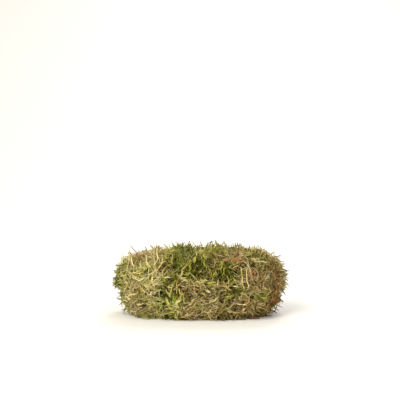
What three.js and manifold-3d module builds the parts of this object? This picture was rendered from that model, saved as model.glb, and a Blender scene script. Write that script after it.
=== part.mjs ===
// A clump of live sphagnum moss, lying on a surface. Units are millimetres, +Z is up, the front is -Y.
//
// The clump is a flattened loaf of tangled moss plants. Old straw-coloured stems are matted together inside
// and arch out of the mat. Living shoots are rooted in plain holes in the mat and lie over it: each has a
// stem, branches along it to either side and a star-shaped head of short branches. Tufts of narrow green
// blades and a few long, pale, bare stems lie over the front.
import * as THREE from "three";
import { mergeVertices } from "three/addons/utils/BufferGeometryUtils.js";
import Module from "manifold-3d";

const wasm = await Module();
wasm.setup();

// ---- Driving dimensions -------------------------------------------------------------------------------
const MAT_HALF = { x: 52.5, y: 25.5, z: 21.5 }; // half sizes of the matted inside
const MAT_CENTRE_Z = 19.5; // less than MAT_HALF.z, so that the underside lies flat on the floor
const UNDERSIDE_Z = 1; // what would lie lower than this is flat on the floor
// 2 is an ellipse and more is squarer: seen from the front, over and under its middle, and seen from above.
const SQUARENESS = { above: 5.5, below: 3.2, depth: 2.6 };
const MAT_RELIEF = 3.2; // how deep the mat's surface is dented
const CLEARANCE = 0.4; // between separate pieces
const FLOOR_GAP = 0.25; // under leafy parts that lie along the floor
const LOWEST = { shoot: 1.5, strand: 1.2 }; // of the middles of stems over the floor
const STEERED = { below: 7, by: 0.3 }; // lines that wander lower than this are steered up
const STRETCH = { x: 1.25, y: 1, z: 1.25 }; // spreads directions evenly over the long loaf

const SHOOT_COUNT = 40;
const SHOOT = {
  shortest: 28,
  longest: 54,
  radius: 0.75,
  rootDepth: 5.5, // of the root under the mat's surface
  bed: 2.4, // lowest height of the middle of a stem over the mat
  loft: 4.5, // how much higher others lie
  headRise: 2.6, // of the head over the rest of the stem
  tries: 300,
};
const BRANCH = { radius: 0.66, shortest: 6, longest: 11.5 };
const HEAD_BRANCH = { radius: 0.7, shortest: 4.5, longest: 7 };
const LEAST_STEM_SPACING = 3.4; // between the middles of two shoots' stems
const PALE = { radius: 0.75, rootDepth: 5, height: 9, tucked: 0.2 }; // tucked: the share that dips
const BLADE = { width: 1.7, thickness: 0.75, bed: 2.7, height: 5.2, lowest: 3 };
const TUFT_NECK = { root: -5, neck: 2, top: 3, radii: [1.3, 1.3, 0.8] }; // heights over the mat, and how thick
const STRAND_COUNT = 76;
const STRAND = { shortest: 15, longest: 40, radius: 0.62, lowest: 2, highest: 9, sink: 5, tries: 24 };

// Bare stems, by where their ends lie on the front face: across (x) and up (z), with how far they bow aside.
const PALE_STEMS = [
  { from: [28.5, 37], to: [30.4, 20], bow: 0.8 },
  { from: [32.6, 36], to: [32.9, 22], bow: 0.6 },
  { from: [2, 27], to: [27, 21], bow: 1.4 },
  { from: [31, 41], to: [54, 36], bow: 2 },
  { from: [-52, 41], to: [-46, 30], bow: 1.2 },
  { from: [-29, 42], to: [-33, 31], bow: 4 },
  { from: [-20, 14], to: [-9, 27], bow: 4.5 },
  { from: [16, 13], to: [37, 14], bow: -4 },
];
// Blade tufts, by where they are rooted on the front face and the way that they point, in degrees from +x.
const BLADE_TUFTS = [
  { root: [-9, 33], points: 118, spread: 95, blades: 8, longest: 14 },
  { root: [-18.5, 9], points: 98, spread: 60, blades: 7, longest: 15 },
  { root: [45, 13], points: 84, spread: 80, blades: 6, longest: 10 },
];

const COLOURS = {
  old_stem: 0x8a7446,
  yellow_green: 0xb2ab58,
  green: 0x7f8f3a,
  tan: 0xb08e58,
  pale_stem: 0xcdb982,
  blade: 0x6f962f,
};
const ROUGHNESS = 0.75;

// ---- Seeded draws -------------------------------------------------------------------------------------
// A linear congruential generator whose products stay exact in a double.
function draws(seed) {
  let state = seed * 7919 + 104729;
  const next = () => {
    state = (state * 1664525 + 1013904223) % 4294967296;
    return state / 4294967296;
  };
  for (let i = 0; i < 3; i++) next();
  return (low, high) => low + (high - low) * next();
}

// ---- The mat's surface --------------------------------------------------------------------------------
const vec = (x, y, z) => new THREE.Vector3(x, y, z);
const CENTRE = vec(0, 0, MAT_CENTRE_Z);

// The front view of a point from the centre: a sum that is 1 on the loaf's outline, and its power.
function frontView(q) {
  const power = q.z > 0 ? SQUARENESS.above : SQUARENESS.below;
  const sum = Math.abs(q.x / MAT_HALF.x) ** power + Math.abs(q.z / MAT_HALF.z) ** power;
  return { power, sum: Math.max(sum, 1e-30) };
}

// Distance from the centre to the mat's surface along a unit direction: a superellipsoid with low hummocks.
function matRadius(d) {
  const { power, sum } = frontView(d);
  const n = SQUARENESS.depth;
  const fullness = (sum ** (n / power) + Math.abs(d.y / MAT_HALF.y) ** n) ** (1 / n);
  const hummocks =
    0.03 * Math.sin(7.1 * d.x + 1.3) * Math.sin(6.3 * d.z + 0.4) +
    0.028 * Math.sin(11.3 * d.x - 3.1 * d.y + 2.2) +
    0.024 * Math.sin(9.2 * d.y + 8.4 * d.z);
  return (1 + hummocks) / fullness;
}

// The point of the mat's surface on the way from the centre to p.
function onMat(p) {
  const d = p.clone().sub(CENTRE).normalize();
  return CENTRE.clone().addScaledVector(d, matRadius(d));
}

// The way out of the mat at p.
function outAt(p) {
  const q = p.clone().sub(CENTRE);
  const { power, sum } = frontView(q);
  const share = sum ** (SQUARENESS.depth / power - 1);
  const slope = (value, half, n) => (Math.sign(value) * Math.abs(value / half) ** (n - 1)) / half;
  const y = slope(q.y, MAT_HALF.y, SQUARENESS.depth);
  return vec(share * slope(q.x, MAT_HALF.x, power), y, share * slope(q.z, MAT_HALF.z, power)).normalize();
}

// How high p stands over the mat, roughly.
function heightOf(p) {
  const q = p.clone().sub(CENTRE);
  const d = q.clone().normalize();
  return (q.length() - matRadius(d)) * Math.max(d.dot(outAt(p)), 0.3);
}

// The point of the front face at x across and z up, found by stepping y to the surface.
function onFront(x, z) {
  const p = vec(x, -MAT_HALF.y, z);
  for (let i = 0; i < 12; i++) {
    const q = p.clone().sub(CENTRE);
    const outside = q.length() - matRadius(q.clone().normalize());
    p.y = Math.min(p.y + 0.7 * outside, -2);
  }
  return p;
}

// A spot on the mat, by its turn round the loaf and its height from -1 to 1.
function spot(turn, up) {
  const flat = Math.sqrt(Math.max(1 - up * up, 0.02));
  const way = vec(flat * Math.cos(turn) * STRETCH.x, flat * Math.sin(turn) * STRETCH.y, up * STRETCH.z);
  return onMat(CENTRE.clone().add(way));
}

// A line that wanders over the mat from a spot, turning by bend radians in all. heights(t) is its height
// over the mat at t from 0 to 1. Low down it is steered up, away from the floor.
function lineOverMat({ start, facing, length, steps, bend, heights }) {
  const step = length / steps;
  const heading = vec(Math.cos(facing), 0.6 * Math.sin(facing), 0.6 * Math.sin(2.3 * facing));
  let base = start.clone();
  let way = heading.projectOnPlane(outAt(base)).normalize();
  const line = [];
  for (let i = 0; i <= steps; i++) {
    const out = outAt(base);
    line.push(base.clone().addScaledVector(out, heights(i / steps)));
    way.applyAxisAngle(out, (bend / steps) * (1 + 0.6 * Math.sin(1.7 * i + 9 * bend)));
    if (base.z < STEERED.below) way.z += STEERED.by;
    way.projectOnPlane(out).normalize();
    const next = onMat(base.clone().addScaledVector(way, step));
    way = next.clone().sub(base).normalize();
    base = next;
  }
  return line;
}

// ---- Solids -------------------------------------------------------------------------------------------
function solidFrom(position, index) {
  return new wasm.Manifold(
    new wasm.Mesh({
      numProp: 3,
      vertProperties: new Float32Array(position),
      triVerts: new Uint32Array(index),
    }),
  );
}

// A tube with few sides along points, with a radius at each, a flat root and a pointed tip, as points and
// faces. Its first corner lies toward the upright. flatness below 1 makes it thin along the upright.
// The faces are the root's, then two for each step and side, then one for each side of the tip.
function tube(line, radii, sides, upright, flatness = 1) {
  const last = line.length - 1;
  const points = [];
  const faces = [];
  let side = upright;
  for (let i = 0; i < last; i++) {
    const along = line[i + 1].clone().sub(line[Math.max(i - 1, 0)]).normalize();
    side = side.clone().projectOnPlane(along).normalize();
    const wide = along.clone().cross(side);
    for (let j = 0; j < sides; j++) {
      const turn = (2 * Math.PI * j) / sides;
      const p = line[i].clone().addScaledVector(side, radii[i] * flatness * Math.cos(turn));
      points.push(p.addScaledVector(wide, radii[i] * Math.sin(turn)));
    }
  }
  points.push(line[last].clone());
  for (let j = 1; j < sides - 1; j++) faces.push([0, j + 1, j]);
  for (let i = 0; i < last - 1; i++) {
    for (let j = 0; j < sides; j++) {
      const a = i * sides + j;
      const b = i * sides + ((j + 1) % sides);
      faces.push([a, b, a + sides], [b, b + sides, a + sides]);
    }
  }
  const ring = (last - 1) * sides;
  for (let j = 0; j < sides; j++) faces.push([ring + j, ring + ((j + 1) % sides), last * sides]);
  return { points, faces };
}
function solidOf({ points, faces }) {
  return solidFrom(points.flatMap((p) => p.toArray()), faces.flat());
}
function limb(line, radii, sides, upright = vec(0.1, 0.2, 1), flatness = 1) {
  return solidOf(tube(line, radii, sides, upright, flatness));
}

// The matted inside: a ball drawn out to the mat's surface and dented. Its underside is flat on the floor.
function matSolid() {
  const ball = new THREE.SphereGeometry(1, 26, 24);
  ball.rotateZ(Math.PI / 2); // the poles lie at the loaf's two ends
  ball.deleteAttribute("normal");
  ball.deleteAttribute("uv");
  const merged = mergeVertices(ball, 1e-5);
  const place = merged.getAttribute("position");
  const draw = draws(7);
  for (let i = 0; i < place.count; i++) {
    const d = vec().fromBufferAttribute(place, i).normalize();
    const radius = matRadius(d);
    const dent = draw(0, MAT_RELIEF);
    const rests = CENTRE.z + radius * d.z < UNDERSIDE_Z;
    const p = CENTRE.clone().addScaledVector(d, rests ? radius : radius - dent);
    place.setXYZ(i, p.x, p.y, rests ? 0 : Math.max(p.z, 0));
  }
  return solidFrom(place.array, merged.index.array);
}

// Joins solids into one body. A loose scrap is dropped.
function joined(solids) {
  const bodies = wasm.Manifold.union(solids).decompose();
  return bodies.sort((a, b) => b.volume() - a.volume())[0];
}

// A plain hole round the start of a line: its limb, wider by the clearance and a little deeper.
const HOLE_SIDES = 5;
const HOLE_SPREAD = 1.25; // so that the middles of the hole's flat sides clear the limb too
function holeAround(line, radius) {
  const deeper = line[0].clone().sub(line[1]).setLength(CLEARANCE).add(line[0]);
  const points = [deeper, ...line.slice(1)];
  return limb(points, points.map(() => HOLE_SPREAD * (radius + CLEARANCE)), HOLE_SIDES);
}

// ---- Keeping clear ------------------------------------------------------------------------------------
const taken = []; // points along each placed limb, with its radius and its node's name
const SAMPLE_STEP = 0.8;
const MARGIN = CLEARANCE + 0.15; // the sides of a limb are flat, and the samples lie apart

function samplesOf(points, radii) {
  const samples = [];
  for (let i = 0; i + 1 < points.length; i++) {
    const count = Math.ceil(points[i].distanceTo(points[i + 1]) / SAMPLE_STEP);
    for (let k = 0; k < count; k++) {
      const t = k / count;
      samples.push({ p: points[i].clone().lerp(points[i + 1], t), r: radii[i] * (1 - t) + radii[i + 1] * t });
    }
  }
  samples.push({ p: points.at(-1), r: radii.at(-1) });
  return samples;
}
function isClear(samples, owner) {
  const meets = (s, t) => t.owner !== owner && s.p.distanceTo(t.p) < s.r + t.r + MARGIN;
  return !samples.some((s) => taken.some((t) => meets(s, t)));
}
function take(samples, owner) {
  for (const s of samples) taken.push({ ...s, owner });
}

// Lifts a point of a limb off the mat and the floor.
function lifted(p, radius) {
  const short = Math.max(radius + MARGIN - heightOf(p), 0);
  const q = p.clone().addScaledVector(outAt(p), short);
  q.z = Math.max(q.z, radius + FLOOR_GAP);
  return q;
}

// ---- The pieces ---------------------------------------------------------------------------------------
const pieces = []; // { name, kind, solid }
const holes = [];
const counts = {};
function nextName(word) {
  counts[word] = (counts[word] ?? 0) + 1;
  return `${word}_${String(counts[word]).padStart(2, "0")}`;
}

// A bare stem over the front face, with both ends tucked into the mat.
const PALE_STEPS = 10;
function paleLine({ from, to, bow }, phase) {
  const run = vec(to[0] - from[0], 0, to[1] - from[1]);
  const aside = vec(-run.z, 0, run.x).normalize();
  const line = [];
  for (let k = 0; k <= PALE_STEPS; k++) {
    const t = k / PALE_STEPS;
    const off = bow * Math.sin(Math.PI * t) + 0.5 * Math.sin(9 * t + phase);
    const base = onFront(from[0] + run.x * t + aside.x * off, from[1] + run.z * t + aside.z * off);
    const rise = Math.min(t / PALE.tucked, 1) * Math.min((1 - t) / PALE.tucked, 1);
    const height = -PALE.rootDepth + (PALE.rootDepth + PALE.height) * rise;
    line.push(base.addScaledVector(outAt(base), height));
  }
  return line;
}
PALE_STEMS.forEach((stem, i) => {
  const name = nextName("pale_stem");
  const line = paleLine(stem, i);
  const radii = line.map((_, k) => PALE.radius * (k === PALE_STEPS ? 0.5 : 1));
  take(samplesOf(line, radii), name);
  holes.push(holeAround(line.slice(0, 4), PALE.radius), holeAround(line.slice(-4).reverse(), PALE.radius));
  pieces.push({ name, kind: "pale_stem", solid: limb(line, radii, 5) });
});

// A tuft: narrow blades that fan out from one short neck. The middle blade comes first, and another is left
// out where it would run into a piece.
const BLADE_STEPS = 4;
function bladeLine(neck, tuft, share, draw) {
  const angle = THREE.MathUtils.degToRad(tuft.points + tuft.spread * share);
  const length = tuft.longest * (1 - 0.35 * Math.abs(share) * 2) * draw(0.85, 1);
  const lift = BLADE.height * draw(0.5, 1);
  const line = [neck.clone()];
  for (let j = 1; j <= BLADE_STEPS; j++) {
    const t = j / BLADE_STEPS;
    const x = neck.x + Math.cos(angle) * length * t;
    const z = Math.max(neck.z + Math.sin(angle) * length * t, BLADE.lowest);
    const base = onFront(x, z);
    line.push(base.addScaledVector(outAt(base), BLADE.bed + lift * Math.sin(2.2 * t)));
  }
  return line;
}
BLADE_TUFTS.forEach((tuft, i) => {
  const name = nextName("blade_tuft");
  const draw = draws(90000 + i);
  const base = onFront(...tuft.root);
  const out = outAt(base);
  const heights = [TUFT_NECK.root, TUFT_NECK.neck, TUFT_NECK.top];
  const [root, neck, top] = heights.map((height) => base.clone().addScaledVector(out, height));
  const neckRadii = TUFT_NECK.radii;
  take(samplesOf([root, base, neck], neckRadii), name);
  holes.push(holeAround([root, base, neck, top], neckRadii[0]));
  const solids = [limb([root, neck, top], neckRadii, 6)];
  for (let k = 0; k < tuft.blades; k++) {
    const share = (0.5 * (k % 2 ? 1 : -1) * Math.ceil(k / 2)) / Math.ceil((tuft.blades - 1) / 2);
    const line = bladeLine(neck, tuft, share, draw);
    const radii = [0.8, 1, 0.9, 0.6, 0.2].map((r) => (r * BLADE.width) / 2);
    const samples = samplesOf(line, radii);
    if (!isClear(samples, name)) continue;
    take(samples, name);
    solids.push(limb(line, radii, 4, out, BLADE.thickness / BLADE.width));
  }
  pieces.push({ name, kind: "blade", solid: joined(solids) });
});

// A shoot's height over the mat: up from its root inside the mat to its bed, and up again to its head.
const STEM_STEPS = 18;
function shootHeights(bed) {
  return (t) => {
    const rise = Math.min(t / 0.15, 1);
    const toHead = Math.max((t - 0.6) / 0.4, 0);
    return -SHOOT.rootDepth + (SHOOT.rootDepth + bed) * rise + SHOOT.headRise * toHead * toHead;
  };
}
const stemTaper = (i) => 1.1 - (0.3 * i) / STEM_STEPS;
const stemRadii = Array.from({ length: STEM_STEPS + 1 }, (_, i) => SHOOT.radius * stemTaper(i));

// How much room a line has among others: how far its points lie from the nearest of theirs, at the least
// and on average.
const FAR = 16;
function roomAmong(line, others) {
  const gaps = line.map((p) => Math.min(FAR, ...others.map((q) => p.distanceTo(q))));
  return { least: Math.min(...gaps), mean: gaps.reduce((sum, gap) => sum + gap, 0) / gaps.length };
}

// The living shoots' stems. Each tries several spots on the mat and takes the one with the most room.
function shootStems() {
  const stems = [];
  for (let serial = 0; serial < SHOOT_COUNT; serial++) {
    const others = stems.flatMap((stem) => stem.line);
    let best = null;
    for (let attempt = 0; attempt < SHOOT.tries; attempt++) {
      const draw = draws(1000 * serial + attempt);
      const start = spot(draw(0, 2 * Math.PI), draw(-0.5, 0.95));
      const facing = draw(0, 2 * Math.PI);
      const length = draw(SHOOT.shortest, SHOOT.longest);
      const heights = shootHeights(SHOOT.bed + draw(0, SHOOT.loft));
      const line = lineOverMat({ start, facing, length, steps: STEM_STEPS, bend: draw(-1.6, 1.6), heights });
      const room = roomAmong(line, others);
      const fits = room.least > LEAST_STEM_SPACING && line.every((p) => p.z > LOWEST.shoot);
      if (!fits || room.mean <= (best?.room ?? 0) || !isClear(samplesOf(line, stemRadii), null)) continue;
      best = { line, serial, room: room.mean };
    }
    if (best) stems.push(best);
  }
  return stems;
}

// A shoot's colour follows its place: yellow-green at the left, green in the middle, tan at the right. Some
// are out of place.
const GREEN_FROM = -15;
const TAN_FROM = 24;
function shootKind({ line, serial }) {
  const across = line[STEM_STEPS / 2].x + 12 * Math.sin(2.7 * serial);
  if (across < GREEN_FROM) return "yellow_green";
  return across < TAN_FROM ? "green" : "tan";
}

// An arc leaves a point one way and curls aside. Its point at u, from 0 to 1:
function arcPoint({ from, way, aside, length, curl }, u) {
  const p = from.clone().addScaledVector(way, (length * Math.sin(curl * u)) / curl);
  return p.addScaledVector(aside, (length * (1 - Math.cos(curl * u))) / curl);
}

// An arc that grows out of one face of a stem's tube: out of its middle, leaning on along the stem.
function arcFrom({ points, faces }, face, along, size, draw) {
  const [a, b, c] = faces[face].map((i) => points[i]);
  const from = a.clone().add(b).add(c).divideScalar(3);
  const normal = b.clone().sub(a).cross(c.clone().sub(a)).normalize();
  const across = along.clone().cross(normal).normalize();
  const way = normal.clone().addScaledVector(along, draw(0.1, 0.9)).addScaledVector(across, draw(-0.5, 0.5));
  way.normalize();
  const aside = along.clone().applyAxisAngle(way, draw(-1.3, 1.3)).projectOnPlane(way).normalize();
  return { face, from, way, aside, length: draw(size.shortest, size.longest), curl: draw(0.3, 1.6) };
}

// The branches along a stem: one from each step, out of its left and right upper faces in turn.
const FIRST_BRANCH = 3;
const LAST_BRANCH = STEM_STEPS - 4;
const faceAt = (step, side, half) => 1 + 2 * (3 * step + side) + half;
function branchArcs({ tube, line, serial }) {
  const draw = draws(50000 + serial);
  const arcs = [];
  for (let step = FIRST_BRANCH; step <= LAST_BRANCH; step++) {
    const along = line[step + 1].clone().sub(line[step]).normalize();
    arcs.push(arcFrom(tube, faceAt(step, step % 2 ? 0 : 2, serial % 2), along, BRANCH, draw));
  }
  return arcs;
}

// The short branches of a head: out of the stem's tip and out of each side of its last two whole steps.
function headArcs({ tube, line, serial }) {
  const draw = draws(70000 + serial);
  const along = line[STEM_STEPS].clone().sub(line[STEM_STEPS - 1]).normalize();
  const tip = faceAt(STEM_STEPS - 1, 0, 0);
  const faces = [0, 1, 2].flatMap((side) => [
    tip + side,
    faceAt(STEM_STEPS - 2, side, 0),
    faceAt(STEM_STEPS - 3, side, 1),
  ]);
  return faces.map((face) => arcFrom(tube, face, along, HEAD_BRANCH, draw));
}

// Grows those arcs that have room out of a stem's faces, each as a three-sided limb that bends and tapers.
const ROOT_STRETCH = 2.4; // the start of a branch that may lie near its own stem
function grow(stemTube, arcs, owner, radius) {
  const { points, faces } = stemTube;
  for (const arc of arcs) {
    const bend = lifted(arcPoint(arc, 0.55), radius);
    const tip = lifted(arcPoint(arc, 1), radius);
    const samples = samplesOf([arc.from, bend, tip], [radius, 0.9 * radius, 0.1 * radius]);
    const far = samples.filter(({ p }) => p.distanceTo(arc.from) > ROOT_STRETCH);
    if (!isClear(samples, owner) || !isClear(far, null)) continue;
    take(samples, owner);
    const corners = faces[arc.face];
    const along = tip.clone().sub(arc.from).normalize();
    const first = points[corners[0]].clone().sub(arc.from).projectOnPlane(along).normalize();
    const second = along.clone().cross(first);
    const ring = [0, 1, 2].map((k) => {
      const turn = (2 * Math.PI * k) / 3;
      const p = bend.clone().addScaledVector(first, 0.9 * radius * Math.cos(turn));
      return points.push(p.addScaledVector(second, 0.9 * radius * Math.sin(turn))) - 1;
    });
    const apex = points.push(tip) - 1;
    const grown = [0, 1, 2].flatMap((k) => {
      const next = (k + 1) % 3;
      return [
        [corners[k], corners[next], ring[next]],
        [corners[k], ring[next], ring[k]],
        [ring[k], ring[next], apex],
      ];
    });
    faces[arc.face] = grown[0];
    faces.push(...grown.slice(1));
  }
}

const shoots = shootStems().map((stem) => {
  const kind = shootKind(stem);
  const backward = stem.line[2].clone().sub(stem.line[4]);
  const stemTube = tube(stem.line, stemRadii, 3, backward);
  return { ...stem, kind, tube: stemTube, name: nextName(`${kind}_shoot`) };
});
for (const { line, name } of shoots) {
  take(samplesOf(line, stemRadii), name);
  holes.push(holeAround(line.slice(0, 5), stemRadii[0]));
}
for (const shoot of shoots) grow(shoot.tube, headArcs(shoot), shoot.name, HEAD_BRANCH.radius);
for (const shoot of shoots) {
  grow(shoot.tube, branchArcs(shoot), shoot.name, BRANCH.radius);
  pieces.push({ name: shoot.name, kind: shoot.kind, solid: solidOf(shoot.tube) });
}

// Old stems that arch out of the mat where there is room. Most go back into it, and some end free. Each
// takes the emptiest of a few places.
function oldStrand(serial, others) {
  let best = null;
  for (let attempt = 0; attempt < STRAND.tries; attempt++) {
    const draw = draws(200000 + 100 * serial + attempt);
    const start = spot(draw(0, 2 * Math.PI), draw(-0.57, 0.98));
    const facing = draw(0, 2 * Math.PI);
    const length = draw(STRAND.shortest, STRAND.longest);
    const top = draw(STRAND.lowest, STRAND.highest);
    const span = draw(0, 1) < 0.4 ? 0.6 : 1; // the share of the arch that a strand has
    const heights = (t) => -STRAND.sink + (STRAND.sink + top) * Math.sin(Math.PI * span * t);
    const steps = Math.max(4, Math.round(length / 6.5));
    const line = lineOverMat({ start, facing, length, steps, bend: draw(-1.6, 1.6), heights });
    const radii = line.map((_, i) => STRAND.radius * (i === steps ? 0.3 : 1));
    const room = roomAmong(line, others).mean;
    if (room <= (best?.room ?? 0) || line.some((p) => p.z < LOWEST.strand)) continue;
    if (isClear(samplesOf(line, radii), null)) best = { line, radii, room };
  }
  return best;
}
function oldStrands() {
  const others = shoots.flatMap((shoot) => shoot.line);
  const strands = [];
  for (let serial = 0; serial < STRAND_COUNT; serial++) {
    const strand = oldStrand(serial, others);
    if (!strand) continue;
    others.push(...strand.line);
    strands.push(limb(strand.line, strand.radii, 3));
  }
  return strands;
}
const mat = wasm.Manifold.union([matSolid(), ...oldStrands()]).subtract(wasm.Manifold.union(holes));
pieces.push({ name: "old_stem_mat", kind: "old_stem", solid: joined([mat]) });

// ---- Meshes -------------------------------------------------------------------------------------------
// A solid's surface, moved by shift. Vertices nearer than the weld become one, and the slivers go.
const WELD = 2e-3;
function surfaceOf(solid, shift) {
  const made = solid.getMesh();
  const loose = new THREE.BufferGeometry();
  loose.setAttribute("position", new THREE.BufferAttribute(made.vertProperties, 3));
  loose.setIndex(new THREE.BufferAttribute(made.triVerts, 1));
  loose.translate(shift.x, shift.y, shift.z);
  const welded = mergeVertices(loose, WELD);
  const index = [];
  for (let i = 0; i < welded.index.count; i += 3) {
    const [a, b, c] = welded.index.array.subarray(i, i + 3);
    if (a !== b && b !== c && c !== a) index.push(a, b, c);
  }
  const whole = joined([solidFrom(welded.getAttribute("position").array, index)]).getMesh();
  const surface = new THREE.BufferGeometry();
  surface.setAttribute("position", new THREE.BufferAttribute(whole.vertProperties, 3));
  surface.setIndex(new THREE.BufferAttribute(whole.triVerts, 1));
  return surface;
}

// The origin is at the bottom centre of the whole clump.
const extent = new THREE.Box3();
for (const { solid } of pieces) {
  const { min, max } = solid.boundingBox();
  extent.expandByPoint(vec(...min)).expandByPoint(vec(...max));
}
const shift = vec(-(extent.min.x + extent.max.x) / 2, -(extent.min.y + extent.max.y) / 2, -extent.min.z);

const clump = new THREE.Group();
clump.name = "sphagnum_moss_clump";
for (const { name, kind, solid } of pieces) {
  const material = new THREE.MeshStandardMaterial({ color: COLOURS[kind], roughness: ROUGHNESS });
  const mesh = new THREE.Mesh(surfaceOf(solid, shift), material);
  mesh.name = name;
  clump.add(mesh);
}

export default clump;
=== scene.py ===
"""The looks of a clump of live sphagnum moss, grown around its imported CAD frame.

The clump's own shape is worked out again here in millimetres by the same rules as the CAD part, so
that each finer piece lies where its node lies: the loaf-shaped mat, the living shoots with their
branches, the bare pale stems, the blade tufts and the old stems that arch out of the mat. Then the
leafy branches, loose stems and blades are made as whole arrays, one mesh a piece.
"""

import math

import bpy
import numpy as np
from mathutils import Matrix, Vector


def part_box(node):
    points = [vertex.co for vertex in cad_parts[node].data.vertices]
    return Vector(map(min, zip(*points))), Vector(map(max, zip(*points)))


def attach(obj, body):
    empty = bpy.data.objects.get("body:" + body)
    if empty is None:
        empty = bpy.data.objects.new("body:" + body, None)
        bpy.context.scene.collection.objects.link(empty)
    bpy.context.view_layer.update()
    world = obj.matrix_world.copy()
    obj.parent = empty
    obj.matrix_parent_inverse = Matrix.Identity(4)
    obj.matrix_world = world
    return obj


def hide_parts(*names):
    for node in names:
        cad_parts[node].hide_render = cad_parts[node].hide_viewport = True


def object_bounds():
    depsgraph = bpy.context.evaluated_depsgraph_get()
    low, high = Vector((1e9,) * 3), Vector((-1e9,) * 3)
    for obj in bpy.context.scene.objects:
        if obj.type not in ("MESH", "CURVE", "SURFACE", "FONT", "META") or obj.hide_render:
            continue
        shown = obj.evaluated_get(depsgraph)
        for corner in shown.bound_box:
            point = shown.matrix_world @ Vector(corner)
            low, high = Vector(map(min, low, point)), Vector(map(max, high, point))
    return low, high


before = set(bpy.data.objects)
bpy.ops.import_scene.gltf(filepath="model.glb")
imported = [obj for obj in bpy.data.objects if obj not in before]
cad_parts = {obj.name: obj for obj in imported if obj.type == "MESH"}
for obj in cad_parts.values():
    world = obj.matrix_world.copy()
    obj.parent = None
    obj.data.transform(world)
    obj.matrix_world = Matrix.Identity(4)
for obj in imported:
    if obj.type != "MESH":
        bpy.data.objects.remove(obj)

CAD_BOX = [list(corner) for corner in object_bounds()]
MM = 0.001
TURN = math.tau
QUICK_SHARE = 1.0

# ---- The clump's dimensions, in millimetres, as in the CAD ----
MAT_HALF = np.array([52.5, 25.5, 21.5])
CENTRE = np.array([0.0, 0.0, 19.5])
SQUARENESS_ABOVE, SQUARENESS_BELOW, SQUARENESS_DEPTH = 5.5, 3.2, 2.6
CLEARANCE = 0.4
MARGIN = CLEARANCE + 0.15
FLOOR_GAP = 0.25
STRETCH = np.array([1.25, 1.0, 1.25])
SHOOT_COUNT, SHOOT_TRIES = 40, 300
SHOOT_LENGTHS, SHOOT_RADIUS = (28, 54), 0.75
ROOT_DEPTH, BED, LOFT, HEAD_RISE = 5.5, 2.4, 4.5, 2.6
BRANCH_RADIUS, BRANCH_LENGTHS = 0.66, (6, 11.5)
HEAD_RADIUS, HEAD_LENGTHS = 0.7, (4.5, 7)
LEAST_STEM_SPACING, LOWEST_STEM = 3.4, 1.5
GREEN_FROM, TAN_FROM = -15, 24  # x where the green shoots begin, and the tan ones
PALE_RADIUS, PALE_ROOT, PALE_HEIGHT = 0.75, 5, 9
BLADE_WIDTH, BLADE_BED, BLADE_HEIGHT = 1.7, 2.7, 5.2
BLADE_TAPER = np.array([0.8, 1, 0.9, 0.6, 0.2])
TUFT_ROOT, TUFT_NECK, TUFT_TOP = -5, 2, 3  # heights over the mat
NECK_RADII = [1.3, 1.3, 0.8]
ARCH_COUNT, ARCH_TRIES, ARCH_RADIUS, ARCH_SINK = 76, 24, 0.62, 5
ARCH_LENGTHS, ARCH_TOPS, ARCH_STEP, LOWEST_ARCH = (15, 40), (2, 9), 6.5, 1.2
SAMPLE_STEP = 0.8
ROOT_STRETCH = 2.4  # how far from its own stem a branch may touch it
FAR = 16  # room past this counts as this
STEP_SHARE = 0.7  # what a search for the front face steps by, of the way that is left
STEM_STEPS, PALE_STEPS, BLADE_STEPS = 18, 10, 4
FIRST_BRANCH, LAST_BRANCH = 3, STEM_STEPS - 4
BLADE_SEED, HEAD_SEED, BRANCH_SEED, ARCH_SEED = 90000, 70000, 50000, 200000

# Bare stems on the front face: from (x, z), to (x, z), and how far they bow aside.
PALE_STEMS = [
    ((28.5, 37), (30.4, 20), 0.8), ((32.6, 36), (32.9, 22), 0.6), ((2, 27), (27, 21), 1.4),
    ((31, 41), (54, 36), 2), ((-52, 41), (-46, 30), 1.2), ((-29, 42), (-33, 31), 4),
    ((-20, 14), (-9, 27), 4.5), ((16, 13), (37, 14), -4),
]
# Blade tufts: root (x, z), the way they point and their spread in degrees, blades, longest blade.
BLADE_TUFTS = [((-9, 33), 118, 95, 8, 14), ((-18.5, 9), 98, 60, 7, 15), ((45, 13), 84, 80, 6, 10)]


# ---- Arrays of vectors ----
def unit(v):
    """Each vector divided by its length."""
    return v / np.maximum(np.linalg.norm(v, axis=-1, keepdims=True), 1e-12)


def dot(a, b):
    """The dot product of each pair, kept as a last axis of one."""
    return (a * b).sum(-1, keepdims=True)


def across_from(v, n):
    """v less its part along the unit vector n."""
    return v - dot(v, n) * n


def turned(v, axis, angle):
    """v turned about the unit axis by Rodrigues' formula."""
    c, s = np.cos(angle)[..., None], np.sin(angle)[..., None]
    return v * c + np.cross(axis, v) * s + axis * dot(axis, v) * (1 - c)


def ways_round(side, wide, turn):
    """Unit vectors across a line at turns round it: side times cosine plus wide times sine."""
    cosine, sine = np.cos(turn)[..., None], np.sin(turn)[..., None]
    return side[..., None, :] * cosine + wide[..., None, :] * sine


class Draws:
    """One linear congruential stream for each seed, stepped together, as the CAD draws them."""

    def __init__(self, seeds):
        seeds = np.atleast_1d(np.asarray(seeds)).astype(np.uint64)
        self.state = seeds * np.uint64(7919) + np.uint64(104729)
        for _ in range(3):
            self(0, 1)

    def __call__(self, low, high):
        following = self.state * np.uint64(1664525) + np.uint64(1013904223)
        self.state = following % np.uint64(2**32)
        return low + (high - low) * (self.state / 2.0**32)


# ---- The mat's surface ----
def front_view(q):
    """The front view of points from the centre: |x / a| and |z / c| to a power that differs over
    and under the middle, added up: 1 on the outline. Returns the sum and the power."""
    power = np.where(q[..., 2] > 0, SQUARENESS_ABOVE, SQUARENESS_BELOW)
    share = np.abs(q / MAT_HALF)
    return np.maximum(share[..., 0] ** power + share[..., 2] ** power, 1e-30), power


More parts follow.
